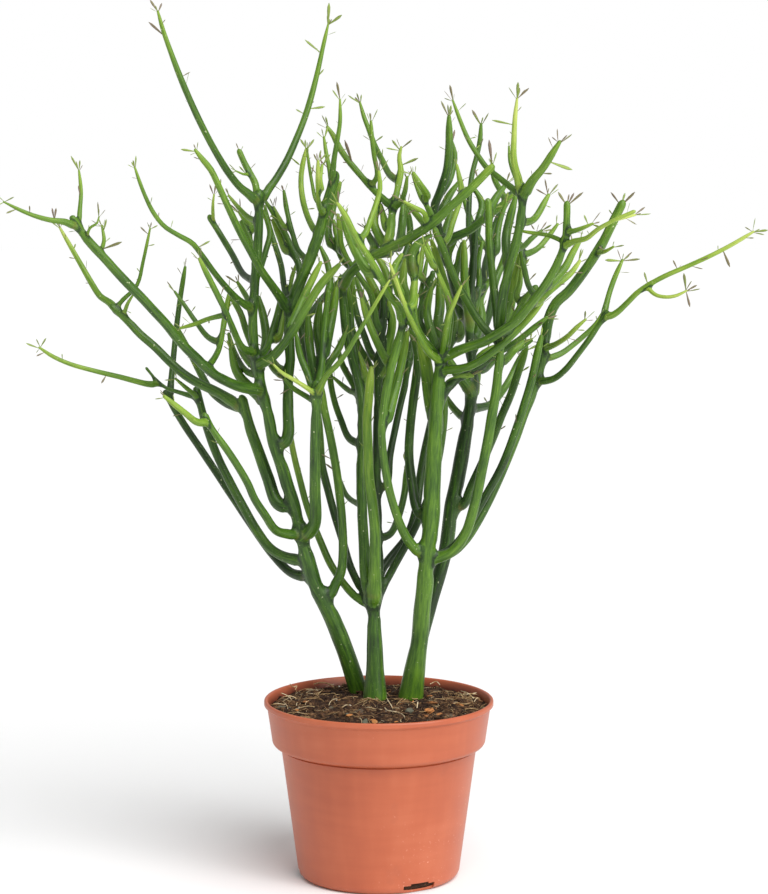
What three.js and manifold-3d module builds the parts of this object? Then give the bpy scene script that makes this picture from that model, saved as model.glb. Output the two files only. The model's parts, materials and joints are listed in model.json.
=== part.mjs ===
// A pencil-stemmed euphorbia in a plastic nursery pot, in millimetres, +Z up.
// The origin is the centre of the pot's flat base and -Y faces the viewer.
// Four stems stand in holes in the soil: left, centre, right and rear.
// Each stem is one solid, grown from tapered limbs and small leaves.

import * as THREE from 'three';
import { mergeVertices } from 'three/addons/utils/BufferGeometryUtils.js';
import Module from 'manifold-3d';

const wasm = await Module();
wasm.setup();

// Pot sizes
const RIM_RADIUS = 85;
const POT_HEIGHT = 133.4;
const WALL = 1.7;
const BASE_RADIUS = 60.4;
const BASE_CORNER = 6.5;
const NECK_RADIUS = 72.4;
const NECK_HEIGHT = 98;
const COLLAR_BOTTOM = 103.5;
const COLLAR_BOTTOM_RADIUS = 79.2;
const COLLAR_TOP = 127.5;
const COLLAR_TOP_RADIUS = 82.7;
const COLLAR_UNDERCUT = 4.5;
const LIP_ROUND = 1.4;
const LIP_DROP = 2.2;
const DRAIN_WIDTH = 26;
const DRAIN_HEIGHT = 7.5;
const DRAIN_DEPTH = 9;
const DRAIN_BEARINGS = [-60, 60, 180];

// Soil sizes
const FIT_GAP = 0.35;
const SOIL_MIDDLE = 131;
const SOIL_EDGE = 127;
const MOUND_FLAT = 34;
const SOIL_RINGS = [66, 50, 34, 17];
const LUMP_HEIGHT = 0.8;
const LUMP_WIDE = 5;
const LUMP_NARROW = 2.5;
const ROUND_STEPS = 36;

// Where the stems stand: how far behind the pot's axis, and how deep in the soil
const FOOT_DEPTH = { left: 32, centre: 12, right: 12, rear: 42 };
const ROOT_LENGTH = 36;
const HOLE_GAP = 0.35;

// How far below the place where it is seen to leave a limb is rooted, in radii of its carrier
const FORK_DROP = 1.3;

// Tube sizes: a new ring after this much turn (radians) or this much length
const RING_TURN = 0.36;
const RING_STEP = 60;
const FINE_STEP = 3;
const SPINE_STEPS = 60;
const TRUNK_RADIUS = 4.4;
const TWIG_RADIUS = 2.4;
const TIP_DOME = 0.75;

// Leaf sizes
const LEAF_LENGTH = 11;
const LEAF_WIDTH = 2.2;
const LEAF_THICKNESS = 1;
const LEAF_WIDEST = 0.45;
// The corners of a leaf's section, as shares of its width and thickness
const LEAF_SECTION = [[0, 2 / 3], [-0.5, -1 / 3], [0.5, -1 / 3]];
const LEAF_ROOT_DEPTH = 0.3;
const LENGTH_SPREAD = 0.3;

// Where the leaves stand: two at each tip, and single ones down a long limb
const TIP_LEAVES = 2;
const SINGLE_SPACING = 140;
const FIRST_SINGLE = 0.35;
const LAST_SINGLE = 0.95;
const TIP_LEAN = 0.55;
const SINGLE_LEAN = 1.1;
const LEAN_SPREAD = 0.25;
const GOLDEN_ANGLE = 2.4;
const LIMB_STEP = 7;
const LEAF_STEP = 5;

// The view that the limbs were read from: a picture of 768 by 894 pixels,
// taken from 2 m in front of the pot's axis and looking slightly down
const VIEW_DISTANCE = 2000;
const VIEW_HEIGHT = 569.3;
const VIEW_TILT = 0.1235;
const FOCAL_LENGTH = 2749.2;
const AXIS_ACROSS = 378.8;
const MIDDLE_DOWN = 447;

// The limbs of each stem, one row a limb: its tag, the limb that carries it, how far
// its tip lies behind its foot in mm (less than 0: towards the viewer), its widths from
// foot to tip in picture pixels, and its way through the picture as across,down pairs.
const LEFT_LIMBS = [
  ['L0', '', -42, [19, 17, 15, 13, 12, 10, 10, 9], '359,692 345,650 333,620 323,598 313,580'
    + ' 306,555 298,522 290,495 283,470 275,445 268,415 262,388 257,365 253,335 253,305'
    + ' 256,270 258,240 259,197'],
  ['L1', 'L0', -46, [8, 7, 6.5, 4], '250,195 240,187 228,172 214,149 200,122 189,98 179,74 170,50'
    + ' 163,30 158,12'],
  ['L2', 'L0', 52, [8, 7, 6, 3.5], '268,190 276,179 286,162 296,140 305,117 312,94 318,70 323,47 328,25'],
  ['L3', 'L0', 14, [7, 6], '255,183 249,172 243,160 240,153'],
  ['L3a', 'L3', -10, [3, 2.5], '243,174 236,171'],
  ['L4', 'L0', 80, [9, 8, 7], '292,573 274,556 257,533 240,508 222,481 202,451 185,426 174,408 167,395'],
  ['L4a', 'L4', 34, [6.5, 5], '170,392 173,362 176,332 180,300 185,268'],
  ['L5', 'L0', 52, [10, 9, 8], '285,557 270,548 257,531 245,510 233,488 220,462 211,440 204,418 197,393'],
  ['L5a', 'L5', 8, [5, 3], '178,392 166,388 155,379 147,369'],
  ['L5b', 'L5a', -30, [6, 5, 4], '156,384 148,384 135,381 120,377 95,371 70,364 52,356 40,348'],
  ['L5c', 'L5', -16, [5, 4], '184,386 176,379'],
  ['L6', 'L0', -55, [9, 8, 7], '277,531 265,515 254,498 248,484 237,465 225,447 213,431 206,418'],
  ['L6a', 'L6', -20, [7, 6], '197,422 185,413 175,405 165,397'],
  ['L7', 'L0', 14, [11, 11, 10], '278,503 268,478 258,450 249,425 243,403'],
  ['L7a', 'L7', 34, [10, 9, 8], '217,392 200,384 185,375 170,362 155,347 140,334 127,320 115,309'],
  ['L7a1', 'L7a', 40, [7, 6, 4], '110,303 100,296 92,284 84,270 76,256 68,242 60,228'],
  ['L7a2', 'L7a', -10, [4, 3.5], '128,303 133,295'],
  ['L7b', 'L7', 66, [8, 7], '227,404 212,392 202,376 193,358 185,344 179,331'],
  ['L8', 'L0', -85, [10, 10, 9.5, 9], '241,387 228,382 214,374 201,362 189,351 178,339 166,324'
    + ' 153,310 141,297 129,285 114,269 100,253 86,238 75,222'],
  ['L8a', 'L8', -22, [7, 5, 3], '65,222 50,220 35,216 20,210 4,202'],
  ['L8b', 'L8', 14, [5, 3.5], '80,208 81,193 80,179 79,171'],
  ['L8c', 'L8', -10, [3, 2.6], '90,228 97,223 99,217'],
  ['L8d', 'L8', 16, [4.5, 3.5], '104,240 102,226'],
  ['L8e', 'L7a', 6, [4.5, 3], '118,306 137,285 143,262 150,229'],
  ['L9', 'L0', -80, [7, 6, 5, 3.5], '240,301 226,287 213,271 201,254 192,243 178,235 164,226 153,212'
    + ' 146,198 140,183 135,168'],
  ['L10', 'L0', -66, [7, 6], '243,348 230,322 219,298 209,278 200,260'],
  ['L10b', 'L10', 14, [5, 4.5], '208,319 195,324 181,328'],
  ['L11', 'L8', 46, [6, 6], '218,351 223,328 227,306 230,291'],
  ['L11a', 'L11', 26, [6, 4], '208,337 196,322 185,306 175,292'],
  ['L12', 'L0', 74, [7, 6], '243,274 232,254 220,234 211,219'],
  ['L12a', 'L12', -8, [3.5, 3], '213,203 214,195'],
  ['L8f', 'L0', 48, [7, 6], '246,371 238,360 232,347 229,335'],
  ['L14', 'L0', 22, [6, 4], '248,217 238,207 229,196'],
  ['L15', 'L0', 8, [10, 10, 10], '287,438 288,410 288,385 290,360 289,335 289,303'],
  ['L13', 'L15', -68, [9, 8, 7, 6], '273,287 261,270 251,252 240,232 229,209 220,189 211,170 203,160'
    + ' 196,151'],
  ['L15a', 'L15', 60, [7, 6, 5], '284,285 281,265 275,245 269,225 265,207'],
  ['L15b', 'L15', -24, [10, 11, 11, 10], '297,290 305,270 313,250 319,232 324,212 329,195 334,179'],
  ['L15b1', 'L15b', -12, [6, 5, 3.5], '334,160 337,142 340,122 340,100'],
  ['L15b2', 'L15b', 50, [6, 6, 5], '312,226 306,212 302,195 301,178 303,163 306,150'],
  ['L15b3', 'L15b', -54, [6, 5], '319,205 318,190 318,175 318,162'],
  ['L15b4', 'L15b', 12, [4, 3], '316,200 312,183 309,165 307,149'],
  ['L15b5', 'L15b', 22, [5, 4], '329,167 326,152 324,138'],
  ['L15e', 'L15', 30, [5, 4.5], '290,288 292,277 296,265'],
  ['L15c', 'L15b', 34, [6, 5], '298,250 292,232 287,212 284,192'],
  ['L15d', 'L15c', 14, [5, 4.5], '284,226 278,216 274,208'],
  ['L16', 'L0', -46, [9, 9, 8], '272,357 285,342 298,322 310,301 322,283 338,266'],
  ['L16b', 'L0', 34, [7, 6.5], '266,350 272,332 278,312 281,296'],
  ['L17', 'L0', -45, [11, 11, 10.5, 10], '314,525 315,490 315,450 316,415 317,388'],
  ['L17a', 'L17', -52, [6.5, 5, 3.5], '327,375 338,364 349,349 359,332 370,313 380,296 389,281'],
  ['L17b', 'L17', -22, [5, 3.5], '304,386 291,378 281,372 274,365'],
  ['L17c', 'L17', 30, [6, 5], '304,395 293,388 285,380'],
  ['L17d', 'L17', 80, [7, 7], '312,372 306,355 302,335 300,318'],
  ['L17e', 'L17', 34, [8, 7], '322,365 323,345 325,320 328,295'],
  ['L17g', 'L17e', 20, [7, 6], '330,280 327,262 321,248'],
  ['L17f', 'L17d', 26, [7, 6], '311,313 322,299 335,286 346,275 356,261'],
  ['L18', 'L0', -10, [9, 8.5, 8], '334,587 341,572 343,553 342,520 339,490 336,468 330,435 324,408 321,385'],
];

const CENTRE_LIMBS = [
  ['C0', '', 0, [25, 18.5, 16.5, 14, 14], '375,697 375,660 374,620 374,598'],
  ['C1', 'C0', -30, [12, 11, 10, 8.5], '375,560 375,530 372,500 369,478 368,450 367,420 369,395 371,370'],
  ['C2', 'C0', 14, [12, 10, 9.5, 9], '366,575 364,545 362,510 361,470 362,430 361,395 354,365 347,338'
    + ' 344,310 342,282'],
  ['C2a', 'C2', 40, [7, 6], '349,438 341,420 335,403 331,385 329,362'],
  ['C2b', 'C2', 26, [6, 5], '350,391 342,385 334,378'],
  ['C2c', 'C2', 44, [6, 5], '350,499 344,491 337,472'],
  ['C3', 'C0', 32, [9, 8.5, 8], '379,570 378,530 377,480 377,440 378,400 378,370 381,345 383,320 384,290'],
  ['C4', 'C0', 52, [8, 7, 6], '354,595 341,580 330,563 322,545 313,523 306,503 300,480 295,460 291,440'
    + ' 288,420'],
  ['C5', 'C0', 62, [8, 8], '358,583 349,563 343,542 335,516 328,490 322,465 320,440 318,412'],
  ['C6', 'C0', 32, [8, 7.5, 7], '383,586 390,574 397,561 405,547 412,534 420,517 430,492 439,457 444,422'
    + ' 445,397'],
  ['C7', 'C0', 62, [9, 8.5, 8], '381,572 388,561 397,550 405,540 412,525 417,505 420,480 425,450 432,420'
    + ' 437,398'],
  ['C7b', 'C7', 34, [7, 6.5], '440,380 446,360 452,340 455,320 452,302'],
  ['C8', 'C3', 50, [7, 7], '391,533 400,512 405,490 407,465'],
  ['C9', 'C3', 36, [7, 7], '386,485 390,455 396,425 401,402 405,385 408,365'],
  ['C9b', 'C9', 34, [7, 6.5], '412,345 418,325 424,305 430,290 437,280'],
  ['C15', 'C3', -18, [6.5, 6, 6], '377,325 374,308 370,292 363,282 355,270 349,262 341,246 340,232 338,216'],
  ['C15b', 'C15', 22, [7, 6], '341,250 337,237 334,222'],
  ['C3b', 'C3', 36, [7, 6.5], '372,355 364,335 357,315 353,295 352,275'],
  ['C19', 'C3', 30, [7, 7], '392,280 400,266 407,250 410,235 409,220 405,206'],
  ['U1', 'C2', -88, [8, 10, 10, 8], '352,272 368,259 388,249 410,238 432,223 452,205 470,189 490,169'],
  ['C12', 'U1', 34, [9, 9, 7, 4.5], '389,240 392,215 397,190 401,172 399,158 401,148'],
  ['C12b', 'C12', -18, [6, 5], '400,203 405,191 407,178'],
  ['C10', 'C12', 26, [7, 6.5, 6], '383,199 374,190 365,180 356,170 347,159 339,147 333,135 328,128'],
  ['C11', 'C12', 60, [7, 6, 4], '390,175 382,160 375,146 369,130 364,117 360,103'],
  ['C13', 'C10', -16, [5, 4.5], '377,176 374,155 372,138 371,122'],
  ['C17', 'U1', 22, [6, 5], '428,208 421,196 417,186 413,175'],
  ['C18', 'U1', -14, [5, 4.5], '424,213 414,207 405,202'],
  ['C20', 'U1', 16, [6, 5], '461,186 459,176 457,166'],
];

const RIGHT_LIMBS = [
  ['R0', '', -20, [25, 17.5, 17, 17.5, 17, 16, 14, 12], '411,695 416,662 420,637 422,610 425,585'
    + ' 427,555 430,525 432,490 434,455 436,420 438,395 440,370 442,350'],
  ['R1', 'R0', -40, [9, 8.5, 8, 9, 9], '411,544 403,531 396,513 390,493 386,473 383,452 382,430 384,408'
    + ' 387,388 391,368 396,350 401,332 405,317'],
  ['R1a', 'R1', -54, [8, 8, 7, 6], '398,306 390,296 383,283 376,270 368,256 360,243 352,229 345,215 338,204'],
  ['R1b', 'R1a', 20, [6, 5.5, 5], '366,232 371,218 376,204 380,188 379,172'],
  ['R1c', 'R1', 34, [8, 7], '385,358 376,340 368,320 362,300'],
  ['R2', 'R0', -22, [9, 10, 10, 9], '450,553 460,543 467,530 473,511 478,490 483,465 488,440 492,415'
    + ' 496,392 499,365 501,337'],
  ['R2a', 'R2', 36, [9, 8.5, 8], '497,315 494,290 491,260 489,232 488,204'],
  ['R2b', 'R2', -40, [10, 10, 9], '501,312 504,290 510,265 517,240 522,213 523,190'],
  ['R2b1', 'R2b', -22, [9, 8, 7], '533,180 543,168 552,154 559,143'],
  ['R2b2', 'R2b', 46, [7, 6, 5, 3.5], '508,185 497,176 487,168 477,154 468,139 460,120 453,101'],
  ['R2b3', 'R2b', -6, [8, 6, 4], '514,160 514,138 515,118 517,99'],
  ['R2b4', 'R2b', 20, [4, 3.5], '510,162 509,147'],
  ['R2b5', 'R2b', 24, [7, 6.5], '534,219 548,196'],
  ['R2c', 'R2', 12, [8, 8, 7], '486,330 477,318 468,303 460,289 452,272 445,253 436,232'],
  ['R2d', 'R2c', 26, [6, 5.5], '448,238 452,225 457,210 462,198'],
  ['R3', 'R0', 46, [9, 10, 11, 11, 10, 9], '452,552 465,540 477,522 490,497 502,470 514,440 524,412'
    + ' 534,388 541,365 545,340 549,318 556,303 568,292 580,277 592,260 602,244 612,224 621,206'],
  ['R3a', 'R3', -32, [6.5, 6], '553,379 565,370 578,354 590,338 600,323 606,315'],
  ['R3a1', 'R3a', 18, [6, 5], '606,306 610,291 615,277 622,261'],
  ['R3a2', 'R3a', -26, [6, 5, 4], '616,313 627,303 637,293 647,286 665,276 688,266 712,255 733,244 753,232'],
  ['R3a2a', 'R3a2', -12, [4, 3.5], '656,295 668,297 678,295 686,291'],
  ['R3b', 'R3', 16, [6, 5], '560,354 573,345 586,334 597,323 603,312'],
  ['R3c', 'R3', -34, [6, 4.5], '556,344 568,336 577,327 585,320'],
  ['R3d', 'R3', -18, [4.5, 4], '606,251 613,247'],
  ['R3i', 'R0', 7, [8, 8], '446,552 459,541 470,523 486,495 501,468 514,435 524,405 532,378 537,355 541,338'],
  ['R4', 'R0', -72, [8, 6, 4], '428,351 419,336 411,320 404,303 397,284 390,264'],
  ['R5', 'R0', -52, [6, 4.5], '445,335 448,318 454,303 461,287'],
  ['R6', 'R0', -68, [9, 10, 9, 7], '465,348 483,342 500,333 515,322 529,306 541,291 551,276 559,260'
    + ' 565,243 567,222 567,206'],
  ['R6a', 'R6', 52, [6, 6], '528,284 524,266 521,246'],
  ['R6b', 'R6', -34, [6, 4], '572,242 587,238 597,230 612,221 633,212'],
  ['R6c', 'R6b', 12, [4, 3.5], '614,220 635,215'],
  ['R6d', 'R6', -12, [5, 4.5], '580,229 592,224'],
  ['R6e', 'R6', 40, [7, 6], '538,302 550,291 562,281 572,272 579,262'],
  ['R6f', 'R6', 20, [4.5, 4], '547,235 533,233 521,231'],
  ['R6g', 'R6a', 14, [6, 5], '537,249 548,237 557,225'],
  ['R7', 'R0', 22, [8, 7, 6], '448,388 456,380 467,374 480,366 500,352 515,343 530,331 546,318'],
  ['R7a', 'R7', 26, [6, 5.5], '516,350 531,341'],
  ['R8', 'R0', 36, [9, 9], '418,510 412,482 409,455 410,430 413,402 416,380 418,360 416,344 411,331'],
  ['R10', 'R0', -46, [9, 9, 6, 5, 3.5], '447,325 450,305 446,292 440,278 433,260 426,242'],
  ['R12', 'R0', 40, [8, 7, 6], '430,335 422,327 419,314 423,300 428,287 432,275'],
  ['R13', 'R12', 22, [5, 4.5], '421,295 424,277 427,260'],
  ['R11', 'R4', 24, [8, 8, 7], '412,305 414,285 416,268 418,254'],
];

const REAR_LIMBS = [
  ['B0', '', 42, [14, 13, 14, 15, 15, 12, 10, 9, 7], '411,690 418,655 426,622 433,596 440,572 446,548'
    + ' 450,520 456,488 462,455 467,425 471,398 473,380 471,355 469,330 470,300 473,265 475,225'],
  ['B1', 'B0', 62, [8, 7], '491,404 501,393 510,379 518,363 526,348'],
  ['B2', 'B0', 20, [7, 6.5], '456,411 449,402 443,392'],
  ['B3', 'B0', -14, [8, 8], '464,503 473,483 483,461 493,438 502,415 511,394 519,370 526,350'],
  ['B7', 'B0', 24, [8, 7.5], '462,315 456,298 455,280 458,262 462,245'],
  ['B9', 'B0', 66, [8, 7], '480,335 488,318 492,300 496,280 503,262 508,245'],
  ['B4', 'B0', 72, [9, 8, 7], '480,290 488,255 497,222 507,200 517,188'],
  ['B4a', 'B4', 18, [6, 5.5], '482,243 474,228 468,212 463,196'],
  ['B4b', 'B4', -14, [6, 5.5], '500,190 494,178 492,165'],
  ['B5', 'B0', -34, [8, 9, 9, 7], '460,300 450,270 442,240 434,210 441,190 447,170 449,148 449,118'],
  ['B5a', 'B5', 26, [6, 5], '442,192 449,182 453,170 455,155 452,142'],
  ['B8', 'B5', -14, [8, 8, 7], '455,237 470,230 485,218 500,207 512,196'],
  ['B6', 'B0', 50, [6, 5.5, 5], '470,235 469,205 472,175 477,155 480,140 481,125'],
];

// A closed mesh from rings of points: each ring is joined to the next, and the first
// and last rings are closed on a point of their own.
function ringMesh(rings, first, last) {
  const sides = rings[0].length;
  const points = [first, ...rings.flat(), last];
  const index = [];
  const at = (ring, side) => 1 + ring * sides + (side % sides);
  for (let side = 0; side < sides; side += 1) {
    index.push(0, at(0, side + 1), at(0, side));
    for (let ring = 0; ring < rings.length - 1; ring += 1) {
      index.push(at(ring, side), at(ring, side + 1), at(ring + 1, side + 1));
      index.push(at(ring, side), at(ring + 1, side + 1), at(ring + 1, side));
    }
    index.push(at(rings.length - 1, side), at(rings.length - 1, side + 1), points.length - 1);
  }
  const geometry = new THREE.BufferGeometry().setFromPoints(points);
  geometry.setIndex(index);
  return geometry;
}

// A geometry as a solid that can be joined and cut.
function toSolid(geometry) {
  const bare = geometry.clone();
  bare.deleteAttribute('normal');
  bare.deleteAttribute('uv');
  const merged = mergeVertices(bare, 1e-4);
  const corners = merged.index.array;
  const kept = [];
  for (let i = 0; i < corners.length; i += 3) {
    const [a, b, c] = corners.subarray(i, i + 3);
    if (a !== b && b !== c && c !== a) kept.push(a, b, c);
  }
  return new wasm.Manifold(new wasm.Mesh({
    numProp: 3,
    vertProperties: new Float32Array(merged.attributes.position.array),
    triVerts: new Uint32Array(kept),
  }));
}

// A solid as a geometry again.
function toGeometry(solid) {
  const mesh = solid.getMesh();
  const geometry = new THREE.BufferGeometry();
  geometry.setAttribute('position', new THREE.BufferAttribute(mesh.vertProperties, 3));
  geometry.setIndex(new THREE.BufferAttribute(mesh.triVerts, 1));
  geometry.computeVertexNormals();
  return geometry;
}

function blend(from, to, share) {
  return from + (to - from) * share;
}

// The value at a share of the way along a list of evenly spaced values.
function valueAlong(values, share) {
  const place = share * (values.length - 1);
  const step = Math.min(Math.floor(place), values.length - 2);
  return blend(values[step], values[step + 1], place - step);
}

// The place in the model, at depth y, of a point of the picture.
function fromPicture(across, down, y) {
  const right = (across - AXIS_ACROSS) / FOCAL_LENGTH;
  const up = (MIDDLE_DOWN - down) / FOCAL_LENGTH;
  const cos = Math.cos(VIEW_TILT);
  const sin = Math.sin(VIEW_TILT);
  const reach = (y + VIEW_DISTANCE) / (cos + up * sin);
  return new THREE.Vector3(right * reach, y, VIEW_HEIGHT + reach * (up * cos - sin));
}

// Half of a width in picture pixels, in millimetres, at a point of the model.
function radiusFromPicture(width, point) {
  const ahead = (point.y + VIEW_DISTANCE) * Math.cos(VIEW_TILT);
  const below = (point.z - VIEW_HEIGHT) * Math.sin(VIEW_TILT);
  return (width / 2) * (ahead - below) / FOCAL_LENGTH;
}

function readPairs(text) {
  return text.split(' ').map((pair) => pair.split(',').map(Number));
}

// A limb's width at a share of its length. A trunk's widths start at the soil, above its root.
function widthOf(limb, share) {
  const { widths, rootShare } = limb;
  return valueAlong(widths, Math.max(0, (share - rootShare) / (1 - rootShare)));
}

// Where a limb is rooted: on its carrier's middle line, a little below the point
// that is nearest to a picture point, so that it leaves at a narrow angle.
function footOnCarrier(carrier, across, down) {
  const gaps = carrier.line.map((point) => fromPicture(across, down, point.y).distanceTo(point));
  const nearest = gaps.indexOf(Math.min(...gaps));
  const share = nearest / SPINE_STEPS;
  const radius = radiusFromPicture(widthOf(carrier, share), carrier.line[nearest]);
  const drop = FORK_DROP * radius / carrier.spine.getLength();
  return carrier.spine.getPointAt(Math.max(share - drop, 0));
}

// A limb's points: it starts on its carrier's middle line, and its depth changes fast
// at first and then levels out, as a limb that leaves sideways and then turns up.
function limbPoints(row, carrier, footDepth) {
  const [, , reach, , text] = row;
  const pairs = readPairs(text);
  const foot = carrier ? footOnCarrier(carrier, ...pairs[0]) : fromPicture(...pairs[0], footDepth);
  const startDepth = foot.y;
  const lengths = [foot.distanceTo(fromPicture(...pairs[0], startDepth))];
  for (let i = 1; i < pairs.length; i += 1) {
    const from = fromPicture(...pairs[i - 1], startDepth);
    lengths.push(lengths[i - 1] + from.distanceTo(fromPicture(...pairs[i], startDepth)));
  }
  const total = lengths[lengths.length - 1];
  const placed = pairs.map((pair, i) => {
    const left = 1 - lengths[i] / total;
    return fromPicture(...pair, startDepth + reach * (1 - left * left));
  });
  if (carrier) return [foot, ...placed];
  const down = foot.clone().sub(placed[1]).normalize();
  return [foot.clone().addScaledVector(down, ROOT_LENGTH), ...placed];
}

// The fine steps of a curve that carry a ring: closer together where it turns.
function ringSteps(frames, fineSteps, stepLength) {
  const kept = [0];
  let turn = 0;
  for (let step = 1; step < fineSteps; step += 1) {
    turn += frames.tangents[step].angleTo(frames.tangents[step - 1]);
    const gone = (step - kept[kept.length - 1]) * stepLength;
    if (turn > RING_TURN || gone > RING_STEP) {
      kept.push(step);
      turn = 0;
    }
  }
  return [...kept, fineSteps];
}

// Straight pieces from one ring's centre to the next: the true middle of a faceted limb.
function spineThrough(centres) {
  const spine = new THREE.CurvePath();
  for (let i = 1; i < centres.length; i += 1) {
    spine.add(new THREE.LineCurve3(centres[i - 1], centres[i]));
  }
  return spine;
}

// All limbs of a stem, by tag: the widths, the rings' places and the spine they make.
function layOutLimbs(rows, footDepth) {
  const limbs = new Map();
  for (const row of rows) {
    const [tag, carrierTag, , widths] = row;
    const carrier = limbs.get(carrierTag);
    const curve = new THREE.CatmullRomCurve3(limbPoints(row, carrier, footDepth), false, 'centripetal');
    const length = curve.getLength();
    const fineSteps = Math.max(2, Math.round(length / FINE_STEP));
    const frames = curve.computeFrenetFrames(fineSteps, false);
    const steps = ringSteps(frames, fineSteps, length / fineSteps);
    const spine = spineThrough(steps.map((step) => curve.getPointAt(step / fineSteps)));
    const line = spine.getSpacedPoints(SPINE_STEPS);
    const rootShare = carrier ? 0 : ROOT_LENGTH / length;
    limbs.set(tag, { tag, curve, widths, rootShare, fineSteps, frames, steps, spine, line });
  }
  return limbs;
}

function sidesFor(radius) {
  if (radius > TRUNK_RADIUS) return 8;
  return radius > TWIG_RADIUS ? 5 : 4;
}

// A tapered tube along a limb's curve, with a domed tip; grow widens it all round.
function tubeSolid(limb, grow = 0) {
  const { curve, widths, fineSteps, frames } = limb;
  const sides = sidesFor(radiusFromPicture(widths[0], curve.getPointAt(0)));
  const rings = limb.steps.map((step) => {
    const centre = curve.getPointAt(step / fineSteps);
    const radius = radiusFromPicture(widthOf(limb, step / fineSteps), centre) + grow;
    return Array.from({ length: sides }, (_, side) => {
      const angle = (2 * Math.PI * side) / sides;
      return centre.clone()
        .addScaledVector(frames.normals[step], radius * Math.cos(angle))
        .addScaledVector(frames.binormals[step], radius * Math.sin(angle));
    });
  });
  const end = curve.getPointAt(1);
  const tipRadius = radiusFromPicture(widths[widths.length - 1], end);
  const tip = end.clone().addScaledVector(frames.tangents[fineSteps], TIP_DOME * tipRadius);
  const foot = curve.getPointAt(0).addScaledVector(frames.tangents[0], -grow);
  return toSolid(ringMesh(rings, foot, tip));
}

// One small leaf: a slim three-sided blade from a point inside its limb.
function leafSolid(root, way, side, length) {
  const over = new THREE.Vector3().crossVectors(way, side);
  const widest = root.clone().addScaledVector(way, length * LEAF_WIDEST);
  const ring = LEAF_SECTION.map(([sideShare, overShare]) => widest.clone()
    .addScaledVector(side, sideShare * LEAF_WIDTH)
    .addScaledVector(over, overShare * LEAF_THICKNESS));
  return toSolid(ringMesh([ring], root.clone(), root.clone().addScaledVector(way, length)));
}

// A fixed value between -1 and 1, unlike for each leaf of each limb.
function uneven(limbNumber, leafNumber) {
  return Math.sin(LIMB_STEP * limbNumber + LEAF_STEP * leafNumber);
}

// One leaf of a limb, at a share of its length, leaning out to its own side.
function leafOnLimb(limb, share, bearing, lean, length) {
  const { curve, widths, spine } = limb;
  const tangent = curve.getTangentAt(share);
  const aside = new THREE.Vector3().crossVectors(tangent, new THREE.Vector3(0, 1, 0)).normalize();
  aside.applyAxisAngle(tangent, bearing);
  const way = tangent.clone().multiplyScalar(Math.cos(lean)).addScaledVector(aside, Math.sin(lean));
  const side = new THREE.Vector3().crossVectors(tangent, aside).normalize();
  const root = spine.getPointAt(share);
  const sunk = share === 1 ? 0 : radiusFromPicture(valueAlong(widths, share), root) * LEAF_ROOT_DEPTH;
  return leafSolid(root.addScaledVector(aside, sunk), way, side, length);
}

// The leaves of a limb: some at its tip and single ones down its side,
// turned by the golden angle and of uneven lean and length by a fixed rule.
function limbLeaves(limb, limbNumber) {
  const singles = Math.floor(limb.curve.getLength() / SINGLE_SPACING);
  return Array.from({ length: TIP_LEAVES + singles }, (_, i) => {
    const atTip = i < TIP_LEAVES;
    const place = (i - TIP_LEAVES + 0.5) / singles;
    const share = atTip ? 1 : blend(FIRST_SINGLE, LAST_SINGLE, place);
    const bearing = GOLDEN_ANGLE * (i + limbNumber);
    const lean = (atTip ? TIP_LEAN : SINGLE_LEAN) + LEAN_SPREAD * uneven(limbNumber, i);
    const length = LEAF_LENGTH * (1 + LENGTH_SPREAD * uneven(i, limbNumber));
    return leafOnLimb(limb, share, bearing, lean, length);
  });
}

// One stem: all its limbs joined, with each leaf that stays clear of the other stems.
function stemSolid(limbs, others) {
  let stem = null;
  let limbNumber = 0;
  for (const limb of limbs.values()) {
    const tube = tubeSolid(limb);
    stem = stem ? stem.add(tube) : tube;
  }
  for (const limb of limbs.values()) {
    limbNumber += 1;
    for (const leaf of limbLeaves(limb, limbNumber)) {
      if (others.every((other) => other.intersect(leaf).isEmpty())) stem = stem.add(leaf);
    }
  }
  return stem;
}

// Points on a round corner of the profile, from one angle to another.
function corner(radius, height, round, from, to, steps) {
  return Array.from({ length: steps + 1 }, (_, step) => {
    const angle = THREE.MathUtils.degToRad(blend(from, to, step / steps));
    return [radius + round * Math.cos(angle), height + round * Math.sin(angle)];
  });
}

// The pot's outside, from the middle of its base up to the top of its lip.
function potOutside() {
  return [
    [0, 0],
    ...corner(BASE_RADIUS - BASE_CORNER, BASE_CORNER, BASE_CORNER, -90, 0, 3),
    [NECK_RADIUS, NECK_HEIGHT],
    ...corner(COLLAR_BOTTOM_RADIUS - COLLAR_UNDERCUT, COLLAR_BOTTOM, COLLAR_UNDERCUT, -60, 0, 2),
    [COLLAR_TOP_RADIUS, COLLAR_TOP],
    [RIM_RADIUS, POT_HEIGHT - LIP_ROUND - LIP_DROP],
    ...corner(RIM_RADIUS - LIP_ROUND, POT_HEIGHT - LIP_ROUND, LIP_ROUND, 0, 180, 3),
  ];
}

// The pot's inside, from under its lip down to the middle of its floor.
function potInside() {
  return [
    [COLLAR_TOP_RADIUS - WALL, COLLAR_TOP],
    [COLLAR_BOTTOM_RADIUS - WALL, COLLAR_BOTTOM + WALL],
    [NECK_RADIUS - WALL, NECK_HEIGHT + WALL],
    ...corner(BASE_RADIUS - BASE_CORNER, BASE_CORNER, BASE_CORNER - WALL, 0, -90, 2),
    [0, WALL],
  ];
}

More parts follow.
